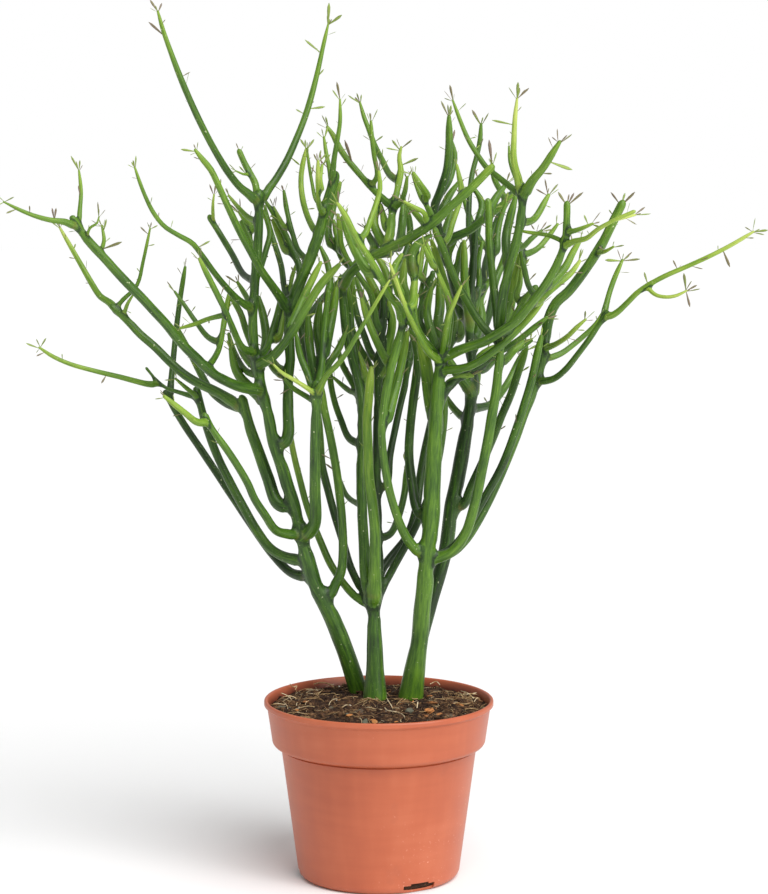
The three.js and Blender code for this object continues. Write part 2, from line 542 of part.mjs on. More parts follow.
// The pot: turned, with drain slots cut in the corner of its base.
function potSolid() {
  const profile = [...potOutside(), ...potInside()];
  const points = profile.map(([radius, height]) => new THREE.Vector2(radius, height));
  let pot = toSolid(new THREE.LatheGeometry(points, ROUND_STEPS).rotateX(Math.PI / 2));
  for (const bearing of DRAIN_BEARINGS) {
    const slot = new THREE.BoxGeometry(DRAIN_DEPTH, DRAIN_WIDTH, 2 * DRAIN_HEIGHT);
    slot.translate(BASE_RADIUS, 0, 0);
    slot.rotateZ(THREE.MathUtils.degToRad(bearing));
    pot = pot.subtract(toSolid(slot));
  }
  return pot;
}

// The soil's top: a flat mound that falls to the wall, with low lumps.
function soilHeight(radius, bearing, edge) {
  const fall = THREE.MathUtils.smoothstep(radius, MOUND_FLAT, edge);
  const x = radius * Math.cos(bearing);
  const y = radius * Math.sin(bearing);
  const wide = Math.sin(x / LUMP_WIDE) * Math.cos(y / LUMP_WIDE);
  const narrow = Math.sin((x - y) / LUMP_NARROW) / 2;
  return blend(SOIL_MIDDLE, SOIL_EDGE, fall) + LUMP_HEIGHT * (wide + narrow);
}

// A ring of points round the pot's axis.
function ringAt(radius, height) {
  return Array.from({ length: ROUND_STEPS }, (_, step) => {
    const bearing = (2 * Math.PI * step) / ROUND_STEPS;
    return new THREE.Vector3(radius * Math.cos(bearing), radius * Math.sin(bearing), height(bearing));
  });
}

// The soil: it fills the pot with a small gap to the wall all round.
function soilSolid() {
  const share = (SOIL_EDGE - COLLAR_BOTTOM) / (COLLAR_TOP - COLLAR_BOTTOM);
  const edge = blend(COLLAR_BOTTOM_RADIUS, COLLAR_TOP_RADIUS, share) - WALL - FIT_GAP;
  const wall = potInside().slice(1, -1).reverse();
  const rings = wall.map(([radius, height]) => ringAt(radius - FIT_GAP, () => height + FIT_GAP));
  for (const radius of [edge, ...SOIL_RINGS]) {
    rings.push(ringAt(radius, (bearing) => soilHeight(radius, bearing, edge)));
  }
  const bottom = new THREE.Vector3(0, 0, WALL + FIT_GAP);
  const top = new THREE.Vector3(0, 0, soilHeight(0, 0, edge));
  return toSolid(ringMesh(rings, bottom, top));
}

// Colours and finishes
const potPlastic = new THREE.MeshStandardMaterial({ color: 0xcd6e50, roughness: 0.45 });
const darkSoil = new THREE.MeshStandardMaterial({ color: 0x3b2a20, roughness: 1 });
const greenStem = new THREE.MeshStandardMaterial({ color: 0x4d7f35, roughness: 0.5 });
const rearGreenStem = new THREE.MeshStandardMaterial({ color: 0x3b6a30, roughness: 0.5 });

const plant = new THREE.Group();

function addPart(name, solid, material) {
  const mesh = new THREE.Mesh(toGeometry(solid), material);
  mesh.name = name;
  plant.add(mesh);
}

// The four stems, laid out first, so that each keeps its leaves clear of the others
const layouts = {
  left: layOutLimbs(LEFT_LIMBS, FOOT_DEPTH.left),
  centre: layOutLimbs(CENTRE_LIMBS, FOOT_DEPTH.centre),
  right: layOutLimbs(RIGHT_LIMBS, FOOT_DEPTH.right),
  rear: layOutLimbs(REAR_LIMBS, FOOT_DEPTH.rear),
};
const grown = {};
for (const [name, limbs] of Object.entries(layouts)) {
  const others = Object.entries(layouts).filter(([other]) => other !== name);
  const otherLimbs = others.flatMap(([, rows]) => [...rows.values()]);
  const otherTubes = otherLimbs.map((limb) => tubeSolid(limb, HOLE_GAP));
  const earlier = Object.values(grown);
  grown[name] = stemSolid(limbs, [...otherTubes, ...earlier]);
}

let soil = soilSolid();
for (const limbs of Object.values(layouts)) {
  const trunk = limbs.values().next().value;
  soil = soil.subtract(tubeSolid(trunk, HOLE_GAP));
}

addPart('pot', potSolid(), potPlastic);
addPart('soil', soil, darkSoil);
addPart('stem_left', grown.left, greenStem);
addPart('stem_centre', grown.centre, greenStem);
addPart('stem_right', grown.right, greenStem);
addPart('stem_rear', grown.rear, rearGreenStem);

export default plant;
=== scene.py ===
# %% [markdown]
# # A pencil-stemmed euphorbia in a nursery pot
#
# The real plant is a bundle of green, nearly leafless stems in a moulded plastic pot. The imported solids
# give every place and size. This lesson dresses them: finer limbs with soft forks, small spoon-shaped
# leaves, potting soil with fibres and chips, and a pot with a rolled lip.

# %% Load the fixed frame
import json
import math
import random
import bpy
from mathutils import Matrix, Vector, kdtree, noise

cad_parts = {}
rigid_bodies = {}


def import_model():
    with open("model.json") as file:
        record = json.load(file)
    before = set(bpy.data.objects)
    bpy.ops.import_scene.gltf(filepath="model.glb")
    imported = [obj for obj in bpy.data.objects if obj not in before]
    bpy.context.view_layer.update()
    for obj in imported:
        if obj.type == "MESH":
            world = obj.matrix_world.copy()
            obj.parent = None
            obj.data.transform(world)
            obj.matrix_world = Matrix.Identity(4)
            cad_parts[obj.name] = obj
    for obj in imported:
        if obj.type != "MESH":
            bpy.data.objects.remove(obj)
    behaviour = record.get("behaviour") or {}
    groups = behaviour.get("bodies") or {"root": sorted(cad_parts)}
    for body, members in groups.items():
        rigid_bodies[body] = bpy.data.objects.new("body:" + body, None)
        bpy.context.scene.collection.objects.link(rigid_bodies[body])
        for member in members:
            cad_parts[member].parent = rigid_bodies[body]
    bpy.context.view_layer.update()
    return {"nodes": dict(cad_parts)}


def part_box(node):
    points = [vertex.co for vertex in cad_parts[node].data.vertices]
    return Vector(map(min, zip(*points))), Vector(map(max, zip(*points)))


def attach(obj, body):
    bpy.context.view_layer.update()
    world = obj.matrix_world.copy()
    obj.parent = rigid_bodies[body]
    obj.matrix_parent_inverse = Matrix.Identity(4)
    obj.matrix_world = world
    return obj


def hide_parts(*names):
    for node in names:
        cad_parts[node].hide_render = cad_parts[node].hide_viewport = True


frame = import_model()
MM = 0.001
print("nodes in the frame:", sorted(frame["nodes"]))

# %% [markdown]
# ## The view
#
# A product photograph of a plant is taken from some way off, so that near limbs don't look swollen. The
# camera could be placed by eye. It is worked out instead: the pot's round rim and base show as ellipses,
# and only one height and tilt give both. The limbs further down are read from the same view.

# %% The camera
PICTURE_WIDTH = 768
PICTURE_HEIGHT = 894
FOCAL_PIXELS = 2749.2
AXIS_ACROSS = 378.8
MIDDLE_DOWN = 447
VIEW_DISTANCE = 2.0
VIEW_HEIGHT = 0.5693
VIEW_TILT = 0.1235
SENSOR_MM = 36
VIEW_POINT = Vector((0, -VIEW_DISTANCE, VIEW_HEIGHT))


def add_camera():
    data = bpy.data.cameras.new("picture_camera")
    data.sensor_fit = "VERTICAL"
    data.sensor_height = SENSOR_MM
    data.lens = SENSOR_MM * FOCAL_PIXELS / PICTURE_HEIGHT
    data.shift_x = (PICTURE_WIDTH / 2 - AXIS_ACROSS) / PICTURE_HEIGHT
    camera = bpy.data.objects.new("picture_camera", data)
    bpy.context.scene.collection.objects.link(camera)
    camera.location = VIEW_POINT
    camera.rotation_euler = (math.pi / 2 - VIEW_TILT, 0, 0)
    bpy.context.scene.camera = camera
    return camera


print("lens:", round(add_camera().data.lens, 1), "mm")

# %% [markdown]
# ## Floor and light
#
# A shop picture of a plant is taken in a white room of light. A bright even surround gives the soft pale
# edges on the plastic, and a soft sun and a panel, both on the right, give the stems a lit side. The floor
# is a plain disc, so that the views from behind and above have the same ground.

# %% Helpers for paint and scene objects
def paint(red, green, blue):
    """A colour read from a picture, 0 to 255, turned by the screen's curve into a shader's linear one."""
    def linear(value):
        share = value / 255
        return share / 12.92 if share <= 0.04045 else ((share + 0.055) / 1.055) ** 2.4
    return (linear(red), linear(green), linear(blue), 1)


def add_object(name, mesh):
    made = bpy.data.objects.new(name, mesh)
    bpy.context.scene.collection.objects.link(made)
    return made


def remove_object(made):
    mesh = made.data
    bpy.data.objects.remove(made)
    bpy.data.meshes.remove(mesh)


def circle_points(radius, steps):
    """Places x and y round a circle."""
    turns = [2 * math.pi * step / steps for step in range(steps)]
    return [(radius * math.cos(turn), radius * math.sin(turn)) for turn in turns]


print("a middle grey in a picture is", round(paint(128, 128, 128)[0], 3), "to a shader")

# %% The floor
FLOOR_RADIUS = 9.0
FLOOR_STEPS = 96
FLOOR_PALENESS = 0.93
FLOOR_ROUGHNESS = 0.9
FLOOR_SHINE = 0.1


def add_floor():
    mesh = bpy.data.meshes.new("floor")
    corners = [(x, y, 0) for x, y in circle_points(FLOOR_RADIUS, FLOOR_STEPS)]
    mesh.from_pydata(corners, [], [list(range(FLOOR_STEPS))])
    material = bpy.data.materials.new("pale_floor")
    material.use_nodes = True
    shader = material.node_tree.nodes["Principled BSDF"]
    shader.inputs["Base Color"].default_value = (FLOOR_PALENESS, FLOOR_PALENESS, FLOOR_PALENESS, 1)
    shader.inputs["Roughness"].default_value = FLOOR_ROUGHNESS
    shader.inputs["Specular IOR Level"].default_value = FLOOR_SHINE
    mesh.materials.append(material)
    floor = add_object("floor", mesh)
    return floor


print("floor:", add_floor().name)

# %% The light
ROOM_LIGHT = 0.5
KEY_SUN = 2.5
KEY_SOFTNESS = math.radians(50)
KEY_PLACE = Vector((1.1, -1.5, 2.6))
PLANT_MIDDLE = Vector((0, 0, 0.3))
PANEL_PLACE = Vector((1.4, -1.2, 0.8))
PANEL_TARGET = Vector((0, 0, 0.35))
PANEL_SIZE = 0.7
PANEL_WATTS = 9


def add_surround():
    """A room that looks white behind the plant and lights it a little less than the lamps do."""
    world = bpy.data.worlds.new("white_room")
    bpy.context.scene.world = world
    world.use_nodes = True
    nodes = world.node_tree.nodes
    links = world.node_tree.links
    room = nodes["Background"]
    room.inputs["Strength"].default_value = ROOM_LIGHT
    behind = nodes.new("ShaderNodeBackground")
    mixer = nodes.new("ShaderNodeMixShader")
    room.inputs["Color"].default_value = behind.inputs["Color"].default_value = (1, 1, 1, 1)
    links.new(nodes.new("ShaderNodeLightPath").outputs["Is Camera Ray"], mixer.inputs[0])
    links.new(room.outputs[0], mixer.inputs[1])
    links.new(behind.outputs[0], mixer.inputs[2])
    links.new(mixer.outputs[0], nodes["World Output"].inputs["Surface"])


def add_lamp(name, kind, place, target, **settings):
    """A lamp at a place, turned towards a target."""
    data = bpy.data.lights.new(name, kind)
    for key, value in settings.items():
        setattr(data, key, value)
    lamp = bpy.data.objects.new(name, data)
    bpy.context.scene.collection.objects.link(lamp)
    lamp.location = place
    lamp.rotation_euler = (target - place).to_track_quat("-Z", "Y").to_euler()


add_surround()
add_lamp("key_sun", "SUN", KEY_PLACE, PLANT_MIDDLE, energy=KEY_SUN, angle=KEY_SOFTNESS)
add_lamp("side_panel", "AREA", PANEL_PLACE, PANEL_TARGET, shape="DISK", size=PANEL_SIZE, energy=PANEL_WATTS)
bpy.context.scene.view_settings.view_transform = "Standard"
print("room light", ROOM_LIGHT, "with one soft sun and one panel")

# %% [markdown]
# ## Recipes for what repeats or follows a line
#
# Limbs, leaves, crumbs and fibres all repeat by a rule, so Geometry Nodes make them. A small class keeps
# the trees readable: a recipe has named sizes, each step names the sockets that it fills, and the last
# steps make real faces and give them their finish. The result is then kept as a plain mesh.

# %% A class for node recipes
class Recipe:
    """A Geometry Nodes tree that is written out in the script."""

    def __init__(self, title):
        self.tree = bpy.data.node_groups.new(title, "GeometryNodeTree")
        self.tree.interface.new_socket("Geometry", in_out="INPUT", socket_type="NodeSocketGeometry")
        self.tree.interface.new_socket("Geometry", in_out="OUTPUT", socket_type="NodeSocketGeometry")
        self.source = self.tree.nodes.new("NodeGroupInput")
        self.identifiers = {}

    def size(self, title, kind="Float"):
        socket = self.tree.interface.new_socket(title, in_out="INPUT", socket_type="NodeSocket" + kind)
        self.identifiers[title] = socket.identifier
        return self.source.outputs[title]

    def guide(self):
        return self.source.outputs["Geometry"]

    def add(self, kind, sockets=(), **settings):
        step = self.tree.nodes.new(kind)
        for key, value in settings.items():
            setattr(step, key, value)
        for key, value in dict(sockets).items():
            target = step.inputs[key] if isinstance(key, int) else named_socket(step, key)
            if isinstance(value, bpy.types.Node):
                value = next(socket for socket in value.outputs if socket.enabled)
            if isinstance(value, bpy.types.NodeSocket):
                self.tree.links.new(value, target)
            else:
                target.default_value = value
        return step

    def read(self, name, kind="FLOAT"):
        return self.add("GeometryNodeInputNamedAttribute", {"Name": name}, data_type=kind)

    def store(self, geometry, name, value, kind="FLOAT", domain="POINT"):
        sockets = {"Geometry": geometry, "Name": name, "Value": value}
        return self.add("GeometryNodeStoreNamedAttribute", sockets, data_type=kind, domain=domain)

    def maths(self, operation, first, second=0.0):
        return self.add("ShaderNodeMath", {0: first, 1: second}, operation=operation)

    def finish(self, geometry, material):
        real = self.add("GeometryNodeRealizeInstances", {"Geometry": geometry})
        smooth = self.add("GeometryNodeSetShadeSmooth", {"Geometry": real, "Shade Smooth": True})
        painted = self.add("GeometryNodeSetMaterial", {"Geometry": smooth, "Material": material})
        last = self.tree.nodes.new("NodeGroupOutput")
        self.tree.links.new(painted.outputs[0], last.inputs[0])
        return self


def named_socket(step, name):
    matching = [socket for socket in step.inputs if socket.name == name]
    return next((socket for socket in matching if socket.enabled), matching[0])


def cook(name, guide, recipe, sizes):
    """Runs a recipe on a guide object and keeps what it makes as a plain mesh object."""
    modifier = guide.modifiers.new("recipe", "NODES")
    modifier.node_group = recipe.tree
    for title, value in sizes.items():
        modifier[recipe.identifiers[title]] = value
    graph = bpy.context.evaluated_depsgraph_get()
    mesh = bpy.data.meshes.new_from_object(guide.evaluated_get(graph), depsgraph=graph)
    mesh.name = name
    remove_object(guide)
    keep_one_material(mesh)
    return add_object(name, mesh)


def keep_one_material(mesh):
    """A recipe's last material is the piece's own; shapes made on the way leave empty places before it."""
    material = mesh.materials[-1]
    mesh.materials.clear()
    mesh.materials.append(material)
    mesh.polygons.foreach_set("material_index", [0] * len(mesh.polygons))


def guide_object(name, points, edges=(), **attributes):
    """Points, with lines between them where they form paths, that carry named values for a recipe."""
    mesh = bpy.data.meshes.new(name)
    mesh.from_pydata([tuple(point) for point in points], list(edges), [])
    for title, values in attributes.items():
        vector = isinstance(values[0], Vector)
        kind = "FLOAT_VECTOR" if vector else "INT" if isinstance(values[0], int) else "FLOAT"
        layer = mesh.attributes.new(title, kind, "POINT")
        flat = [part for value in values for part in value] if vector else values
        layer.data.foreach_set("vector" if vector else "value", flat)
    return add_object(name, mesh)


def dress(piece, slot, *nodes):
    """Hands a finished piece to the frame: its body and the solids that it stands for. The slot is not used.
    """
    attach(piece, "root")
    if nodes:
        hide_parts(*nodes)
    triangles = sum(len(polygon.vertices) - 2 for polygon in piece.data.polygons)
    print(piece.name, "has", triangles, "triangles")


print("recipes are ready to be written")

# %% [markdown]
# ## How the limbs grow
#
# Each real stem forks again and again, and every limb is a tapered green rod that leaves its carrier
# sideways and then turns up. A growth simulation would give a plant, but not this one. So each limb is one
# row, read from the view: its name, the limb that carries it, how far its tip lies behind its foot
# in mm (less than 0 is towards the viewer), its widths from foot to tip, and its way through the picture.

# %% The limbs of the four stems
LEFT_LIMBS = [
    ("L0", "", -42, (19, 17, 15, 13, 12, 10, 10, 9), "359,692 345,650 333,620 323,598 313,580 306,555 "
     "298,522 290,495 283,470 275,445 268,415 262,388 257,365 253,335 253,305 256,270 258,240 259,197"),
    ("L1", "L0", -46, (8, 7, 6.5, 4), "250,195 240,187 228,172 214,149 200,122 189,98 179,74 170,50 "
     "163,30 158,12"),
    ("L2", "L0", 52, (8, 7, 6, 3.5), "268,190 276,179 286,162 296,140 305,117 312,94 318,70 323,47 328,25"),
    ("L3", "L0", 14, (7, 6), "255,183 249,172 243,160 240,153"),
    ("L3a", "L3", -10, (3, 2.5), "243,174 236,171"),
    ("L4", "L0", 80, (9, 8, 7), "292,573 274,556 257,533 240,508 222,481 202,451 185,426 174,408 167,395"),
    ("L4a", "L4", 34, (6.5, 5), "170,392 173,362 176,332 180,300 185,268"),
    ("L5", "L0", 52, (10, 9, 8), "285,557 270,548 257,531 245,510 233,488 220,462 211,440 204,418 197,393"),
    ("L5a", "L5", 8, (5, 3), "178,392 166,388 155,379 147,369"),
    ("L5b", "L5a", -30, (6, 5, 4), "156,384 148,384 135,381 120,377 95,371 70,364 52,356 40,348"),
    ("L5c", "L5", -16, (5, 4), "184,386 176,379"),
    ("L6", "L0", -55, (9, 8, 7), "277,531 265,515 254,498 248,484 237,465 225,447 213,431 206,418"),
    ("L6a", "L6", -20, (7, 6), "197,422 185,413 175,405 165,397"),
    ("L7", "L0", 14, (11, 11, 10), "278,503 268,478 258,450 249,425 243,403"),
    ("L7a", "L7", 34, (10, 9, 8), "217,392 200,384 185,375 170,362 155,347 140,334 127,320 115,309"),
    ("L7a1", "L7a", 40, (7, 6, 4), "110,303 100,296 92,284 84,270 76,256 68,242 60,228"),
    ("L7a2", "L7a", -10, (4, 3.5), "128,303 133,295"),
    ("L7b", "L7", 66, (8, 7), "227,404 212,392 202,376 193,358 185,344 179,331"),
    ("L8", "L0", -85, (10, 10, 9.5, 9), "241,387 228,382 214,374 201,362 189,351 178,339 166,324 153,310 "
     "141,297 129,285 114,269 100,253 86,238 75,222"),
    ("L8a", "L8", -22, (7, 5, 3), "65,222 50,220 35,216 20,210 4,202"),
    ("L8b", "L8", 14, (5, 3.5), "80,208 81,193 80,179 79,171"),
    ("L8c", "L8", -10, (3, 2.6), "90,228 97,223 99,217"),
    ("L8d", "L8", 16, (4.5, 3.5), "104,240 102,226"),
    ("L8e", "L7a", 6, (4.5, 3), "118,306 137,285 143,262 150,229"),
    ("L9", "L0", -80, (7, 6, 5, 3.5), "240,301 226,287 213,271 201,254 192,243 178,235 164,226 153,212 "
     "146,198 140,183 135,168"),
    ("L10", "L0", -66, (7, 6), "243,348 230,322 219,298 209,278 200,260"),
    ("L10b", "L10", 14, (5, 4.5), "208,319 195,324 181,328"),
    ("L11", "L8", 46, (6, 6), "218,351 223,328 227,306 230,291"),
    ("L11a", "L11", 26, (6, 4), "208,337 196,322 185,306 175,292"),
    ("L12", "L0", 74, (7, 6), "243,274 232,254 220,234 211,219"),
    ("L12a", "L12", -8, (3.5, 3), "213,203 214,195"),
    ("L8f", "L0", 48, (7, 6), "246,371 238,360 232,347 229,335"),
    ("L14", "L0", 22, (6, 4), "248,217 238,207 229,196"),
    ("L15", "L0", 8, (10, 10, 10), "287,438 288,410 288,385 290,360 289,335 289,303"),
    ("L13", "L15", -68, (9, 8, 7, 6), "273,287 261,270 251,252 240,232 229,209 220,189 211,170 203,160 "
     "196,151"),
    ("L15a", "L15", 60, (7, 6, 5), "284,285 281,265 275,245 269,225 265,207"),
    ("L15b", "L15", -24, (10, 11, 11, 10), "297,290 305,270 313,250 319,232 324,212 329,195 334,179"),
    ("L15b1", "L15b", -12, (6, 5, 3.5), "334,160 337,142 340,122 340,100"),
    ("L15b2", "L15b", 50, (6, 6, 5), "312,226 306,212 302,195 301,178 303,163 306,150"),
    ("L15b3", "L15b", -54, (6, 5), "319,205 318,190 318,175 318,162"),
    ("L15b4", "L15b", 12, (4, 3), "316,200 312,183 309,165 307,149"),
    ("L15b5", "L15b", 22, (5, 4), "329,167 326,152 324,138"),
    ("L15e", "L15", 30, (5, 4.5), "290,288 292,277 296,265"),
    ("L15c", "L15b", 34, (6, 5), "298,250 292,232 287,212 284,192"),
    ("L15d", "L15c", 14, (5, 4.5), "284,226 278,216 274,208"),
    ("L16", "L0", -46, (9, 9, 8), "272,357 285,342 298,322 310,301 322,283 338,266"),
    ("L16b", "L0", 34, (7, 6.5), "266,350 272,332 278,312 281,296"),
    ("L17", "L0", -45, (11, 11, 10.5, 10), "314,525 315,490 315,450 316,415 317,388"),
    ("L17a", "L17", -52, (6.5, 5, 3.5), "327,375 338,364 349,349 359,332 370,313 380,296 389,281"),
    ("L17b", "L17", -22, (5, 3.5), "304,386 291,378 281,372 274,365"),
    ("L17c", "L17", 30, (6, 5), "304,395 293,388 285,380"),
    ("L17d", "L17", 80, (7, 7), "312,372 306,355 302,335 300,318"),
    ("L17e", "L17", 34, (8, 7), "322,365 323,345 325,320 328,295"),
    ("L17g", "L17e", 20, (7, 6), "330,280 327,262 321,248"),
    ("L17f", "L17d", 26, (7, 6), "311,313 322,299 335,286 346,275 356,261"),
    ("L18", "L0", -10, (9, 8.5, 8), "334,587 341,572 343,553 342,520 339,490 336,468 330,435 324,408 "
     "321,385"),
]

CENTRE_LIMBS = [
    ("C0", "", 0, (25, 18.5, 16.5, 14, 14), "375,697 375,660 374,620 374,598"),
    ("C1", "C0", -30, (12, 11, 10, 8.5), "375,560 375,530 372,500 369,478 368,450 367,420 369,395 371,370"),
    ("C2", "C0", 14, (12, 10, 9.5, 9), "366,575 364,545 362,510 361,470 362,430 361,395 354,365 347,338 "
     "344,310 342,282"),
    ("C2a", "C2", 40, (7, 6), "349,438 341,420 335,403 331,385 329,362"),
    ("C2b", "C2", 26, (6, 5), "350,391 342,385 334,378"),
    ("C2c", "C2", 44, (6, 5), "350,499 344,491 337,472"),
    ("C3", "C0", 32, (9, 8.5, 8), "379,570 378,530 377,480 377,440 378,400 378,370 381,345 383,320 "
     "384,290"),
    ("C4", "C0", 52, (8, 7, 6), "354,595 341,580 330,563 322,545 313,523 306,503 300,480 295,460 291,440 "
     "288,420"),
    ("C5", "C0", 62, (8, 8), "358,583 349,563 343,542 335,516 328,490 322,465 320,440 318,412"),
    ("C6", "C0", 32, (8, 7.5, 7), "383,586 390,574 397,561 405,547 412,534 420,517 430,492 439,457 "
     "444,422 445,397"),
    ("C7", "C0", 62, (9, 8.5, 8), "381,572 388,561 397,550 405,540 412,525 417,505 420,480 425,450 "
     "432,420 437,398"),
    ("C7b", "C7", 34, (7, 6.5), "440,380 446,360 452,340 455,320 452,302"),
    ("C8", "C3", 50, (7, 7), "391,533 400,512 405,490 407,465"),
    ("C9", "C3", 36, (7, 7), "386,485 390,455 396,425 401,402 405,385 408,365"),
    ("C9b", "C9", 34, (7, 6.5), "412,345 418,325 424,305 430,290 437,280"),
    ("C15", "C3", -18, (6.5, 6, 6), "377,325 374,308 370,292 363,282 355,270 349,262 341,246 340,232 "
     "338,216"),
    ("C15b", "C15", 22, (7, 6), "341,250 337,237 334,222"),
    ("C3b", "C3", 36, (7, 6.5), "372,355 364,335 357,315 353,295 352,275"),
    ("C19", "C3", 30, (7, 7), "392,280 400,266 407,250 410,235 409,220 405,206"),
    ("U1", "C2", -88, (8, 10, 10, 8), "352,272 368,259 388,249 410,238 432,223 452,205 470,189 490,169"),
    ("C12", "U1", 34, (9, 9, 7, 4.5), "389,240 392,215 397,190 401,172 399,158 401,148"),
    ("C12b", "C12", -18, (6, 5), "400,203 405,191 407,178"),
    ("C10", "C12", 26, (7, 6.5, 6), "383,199 374,190 365,180 356,170 347,159 339,147 333,135 328,128"),
    ("C11", "C12", 60, (7, 6, 4), "390,175 382,160 375,146 369,130 364,117 360,103"),
    ("C13", "C10", -16, (5, 4.5), "377,176 374,155 372,138 371,122"),
    ("C17", "U1", 22, (6, 5), "428,208 421,196 417,186 413,175"),
    ("C18", "U1", -14, (5, 4.5), "424,213 414,207 405,202"),
    ("C20", "U1", 16, (6, 5), "461,186 459,176 457,166"),
]

RIGHT_LIMBS = [
    ("R0", "", -20, (25, 17.5, 17, 17.5, 17, 16, 14, 12), "411,695 416,662 420,637 422,610 425,585 427,555 "
     "430,525 432,490 434,455 436,420 438,395 440,370 442,350"),
    ("R1", "R0", -40, (9, 8.5, 8, 9, 9), "411,544 403,531 396,513 390,493 386,473 383,452 382,430 384,408 "
     "387,388 391,368 396,350 401,332 405,317"),
    ("R1a", "R1", -54, (8, 8, 7, 6), "398,306 390,296 383,283 376,270 368,256 360,243 352,229 345,215 "
     "338,204"),
    ("R1b", "R1a", 20, (6, 5.5, 5), "366,232 371,218 376,204 380,188 379,172"),
    ("R1c", "R1", 34, (8, 7), "385,358 376,340 368,320 362,300"),
    ("R2", "R0", -22, (9, 10, 10, 9), "450,553 460,543 467,530 473,511 478,490 483,465 488,440 492,415 "
     "496,392 499,365 501,337"),
    ("R2a", "R2", 36, (9, 8.5, 8), "497,315 494,290 491,260 489,232 488,204"),
    ("R2b", "R2", -40, (10, 10, 9), "501,312 504,290 510,265 517,240 522,213 523,190"),
    ("R2b1", "R2b", -22, (9, 8, 7), "533,180 543,168 552,154 559,143"),
    ("R2b2", "R2b", 46, (7, 6, 5, 3.5), "508,185 497,176 487,168 477,154 468,139 460,120 453,101"),
    ("R2b3", "R2b", -6, (8, 6, 4), "514,160 514,138 515,118 517,99"),
    ("R2b4", "R2b", 20, (4, 3.5), "510,162 509,147"),
    ("R2b5", "R2b", 24, (7, 6.5), "534,219 548,196"),
    ("R2c", "R2", 12, (8, 8, 7), "486,330 477,318 468,303 460,289 452,272 445,253 436,232"),
    ("R2d", "R2c", 26, (6, 5.5), "448,238 452,225 457,210 462,198"),
    ("R3", "R0", 46, (9, 10, 11, 11, 10, 9), "452,552 465,540 477,522 490,497 502,470 514,440 524,412 "
     "534,388 541,365 545,340 549,318 556,303 568,292 580,277 592,260 602,244 612,224 621,206"),
    ("R3a", "R3", -32, (6.5, 6), "553,379 565,370 578,354 590,338 600,323 606,315"),
    ("R3a1", "R3a", 18, (6, 5), "606,306 610,291 615,277 622,261"),
    ("R3a2", "R3a", -26, (6, 5, 4), "616,313 627,303 637,293 647,286 665,276 688,266 712,255 733,244 "
     "753,232"),
    ("R3a2a", "R3a2", -12, (4, 3.5), "656,295 668,297 678,295 686,291"),
    ("R3b", "R3", 16, (6, 5), "560,354 573,345 586,334 597,323 603,312"),
    ("R3c", "R3", -34, (6, 4.5), "556,344 568,336 577,327 585,320"),
    ("R3d", "R3", -18, (4.5, 4), "606,251 613,247"),
    ("R3i", "R0", 7, (8, 8), "446,552 459,541 470,523 486,495 501,468 514,435 524,405 532,378 537,355 "
     "541,338"),
    ("R4", "R0", -72, (8, 6, 4), "428,351 419,336 411,320 404,303 397,284 390,264"),
    ("R5", "R0", -52, (6, 4.5), "445,335 448,318 454,303 461,287"),
    ("R6", "R0", -68, (9, 10, 9, 7), "465,348 483,342 500,333 515,322 529,306 541,291 551,276 559,260 "
     "565,243 567,222 567,206"),
    ("R6a", "R6", 52, (6, 6), "528,284 524,266 521,246"),
    ("R6b", "R6", -34, (6, 4), "572,242 587,238 597,230 612,221 633,212"),
    ("R6c", "R6b", 12, (4, 3.5), "614,220 635,215"),
    ("R6d", "R6", -12, (5, 4.5), "580,229 592,224"),
    ("R6e", "R6", 40, (7, 6), "538,302 550,291 562,281 572,272 579,262"),
    ("R6f", "R6", 20, (4.5, 4), "547,235 533,233 521,231"),
    ("R6g", "R6a", 14, (6, 5), "537,249 548,237 557,225"),
    ("R7", "R0", 22, (8, 7, 6), "448,388 456,380 467,374 480,366 500,352 515,343 530,331 546,318"),
    ("R7a", "R7", 26, (6, 5.5), "516,350 531,341"),
    ("R8", "R0", 36, (9, 9), "418,510 412,482 409,455 410,430 413,402 416,380 418,360 416,344 411,331"),
    ("R10", "R0", -46, (9, 9, 6, 5, 3.5), "447,325 450,305 446,292 440,278 433,260 426,242"),
    ("R12", "R0", 40, (8, 7, 6), "430,335 422,327 419,314 423,300 428,287 432,275"),
    ("R13", "R12", 22, (5, 4.5), "421,295 424,277 427,260"),
    ("R11", "R4", 24, (8, 8, 7), "412,305 414,285 416,268 418,254"),
]

REAR_LIMBS = [
    ("B0", "", 42, (14, 13, 14, 15, 15, 12, 10, 9, 7), "411,690 418,655 426,622 433,596 440,572 446,548 "
     "450,520 456,488 462,455 467,425 471,398 473,380 471,355 469,330 470,300 473,265 475,225"),
    ("B1", "B0", 62, (8, 7), "491,404 501,393 510,379 518,363 526,348"),
    ("B2", "B0", 20, (7, 6.5), "456,411 449,402 443,392"),
    ("B3", "B0", -14, (8, 8), "464,503 473,483 483,461 493,438 502,415 511,394 519,370 526,350"),
    ("B7", "B0", 24, (8, 7.5), "462,315 456,298 455,280 458,262 462,245"),
    ("B9", "B0", 66, (8, 7), "480,335 488,318 492,300 496,280 503,262 508,245"),
    ("B4", "B0", 72, (9, 8, 7), "480,290 488,255 497,222 507,200 517,188"),
    ("B4a", "B4", 18, (6, 5.5), "482,243 474,228 468,212 463,196"),
    ("B4b", "B4", -14, (6, 5.5), "500,190 494,178 492,165"),
    ("B5", "B0", -34, (8, 9, 9, 7), "460,300 450,270 442,240 434,210 441,190 447,170 449,148 449,118"),
    ("B5a", "B5", 26, (6, 5), "442,192 449,182 453,170 455,155 452,142"),
    ("B8", "B5", -14, (8, 8, 7), "455,237 470,230 485,218 500,207 512,196"),
    ("B6", "B0", 50, (6, 5.5, 5), "470,235 469,205 472,175 477,155 480,140 481,125"),
]
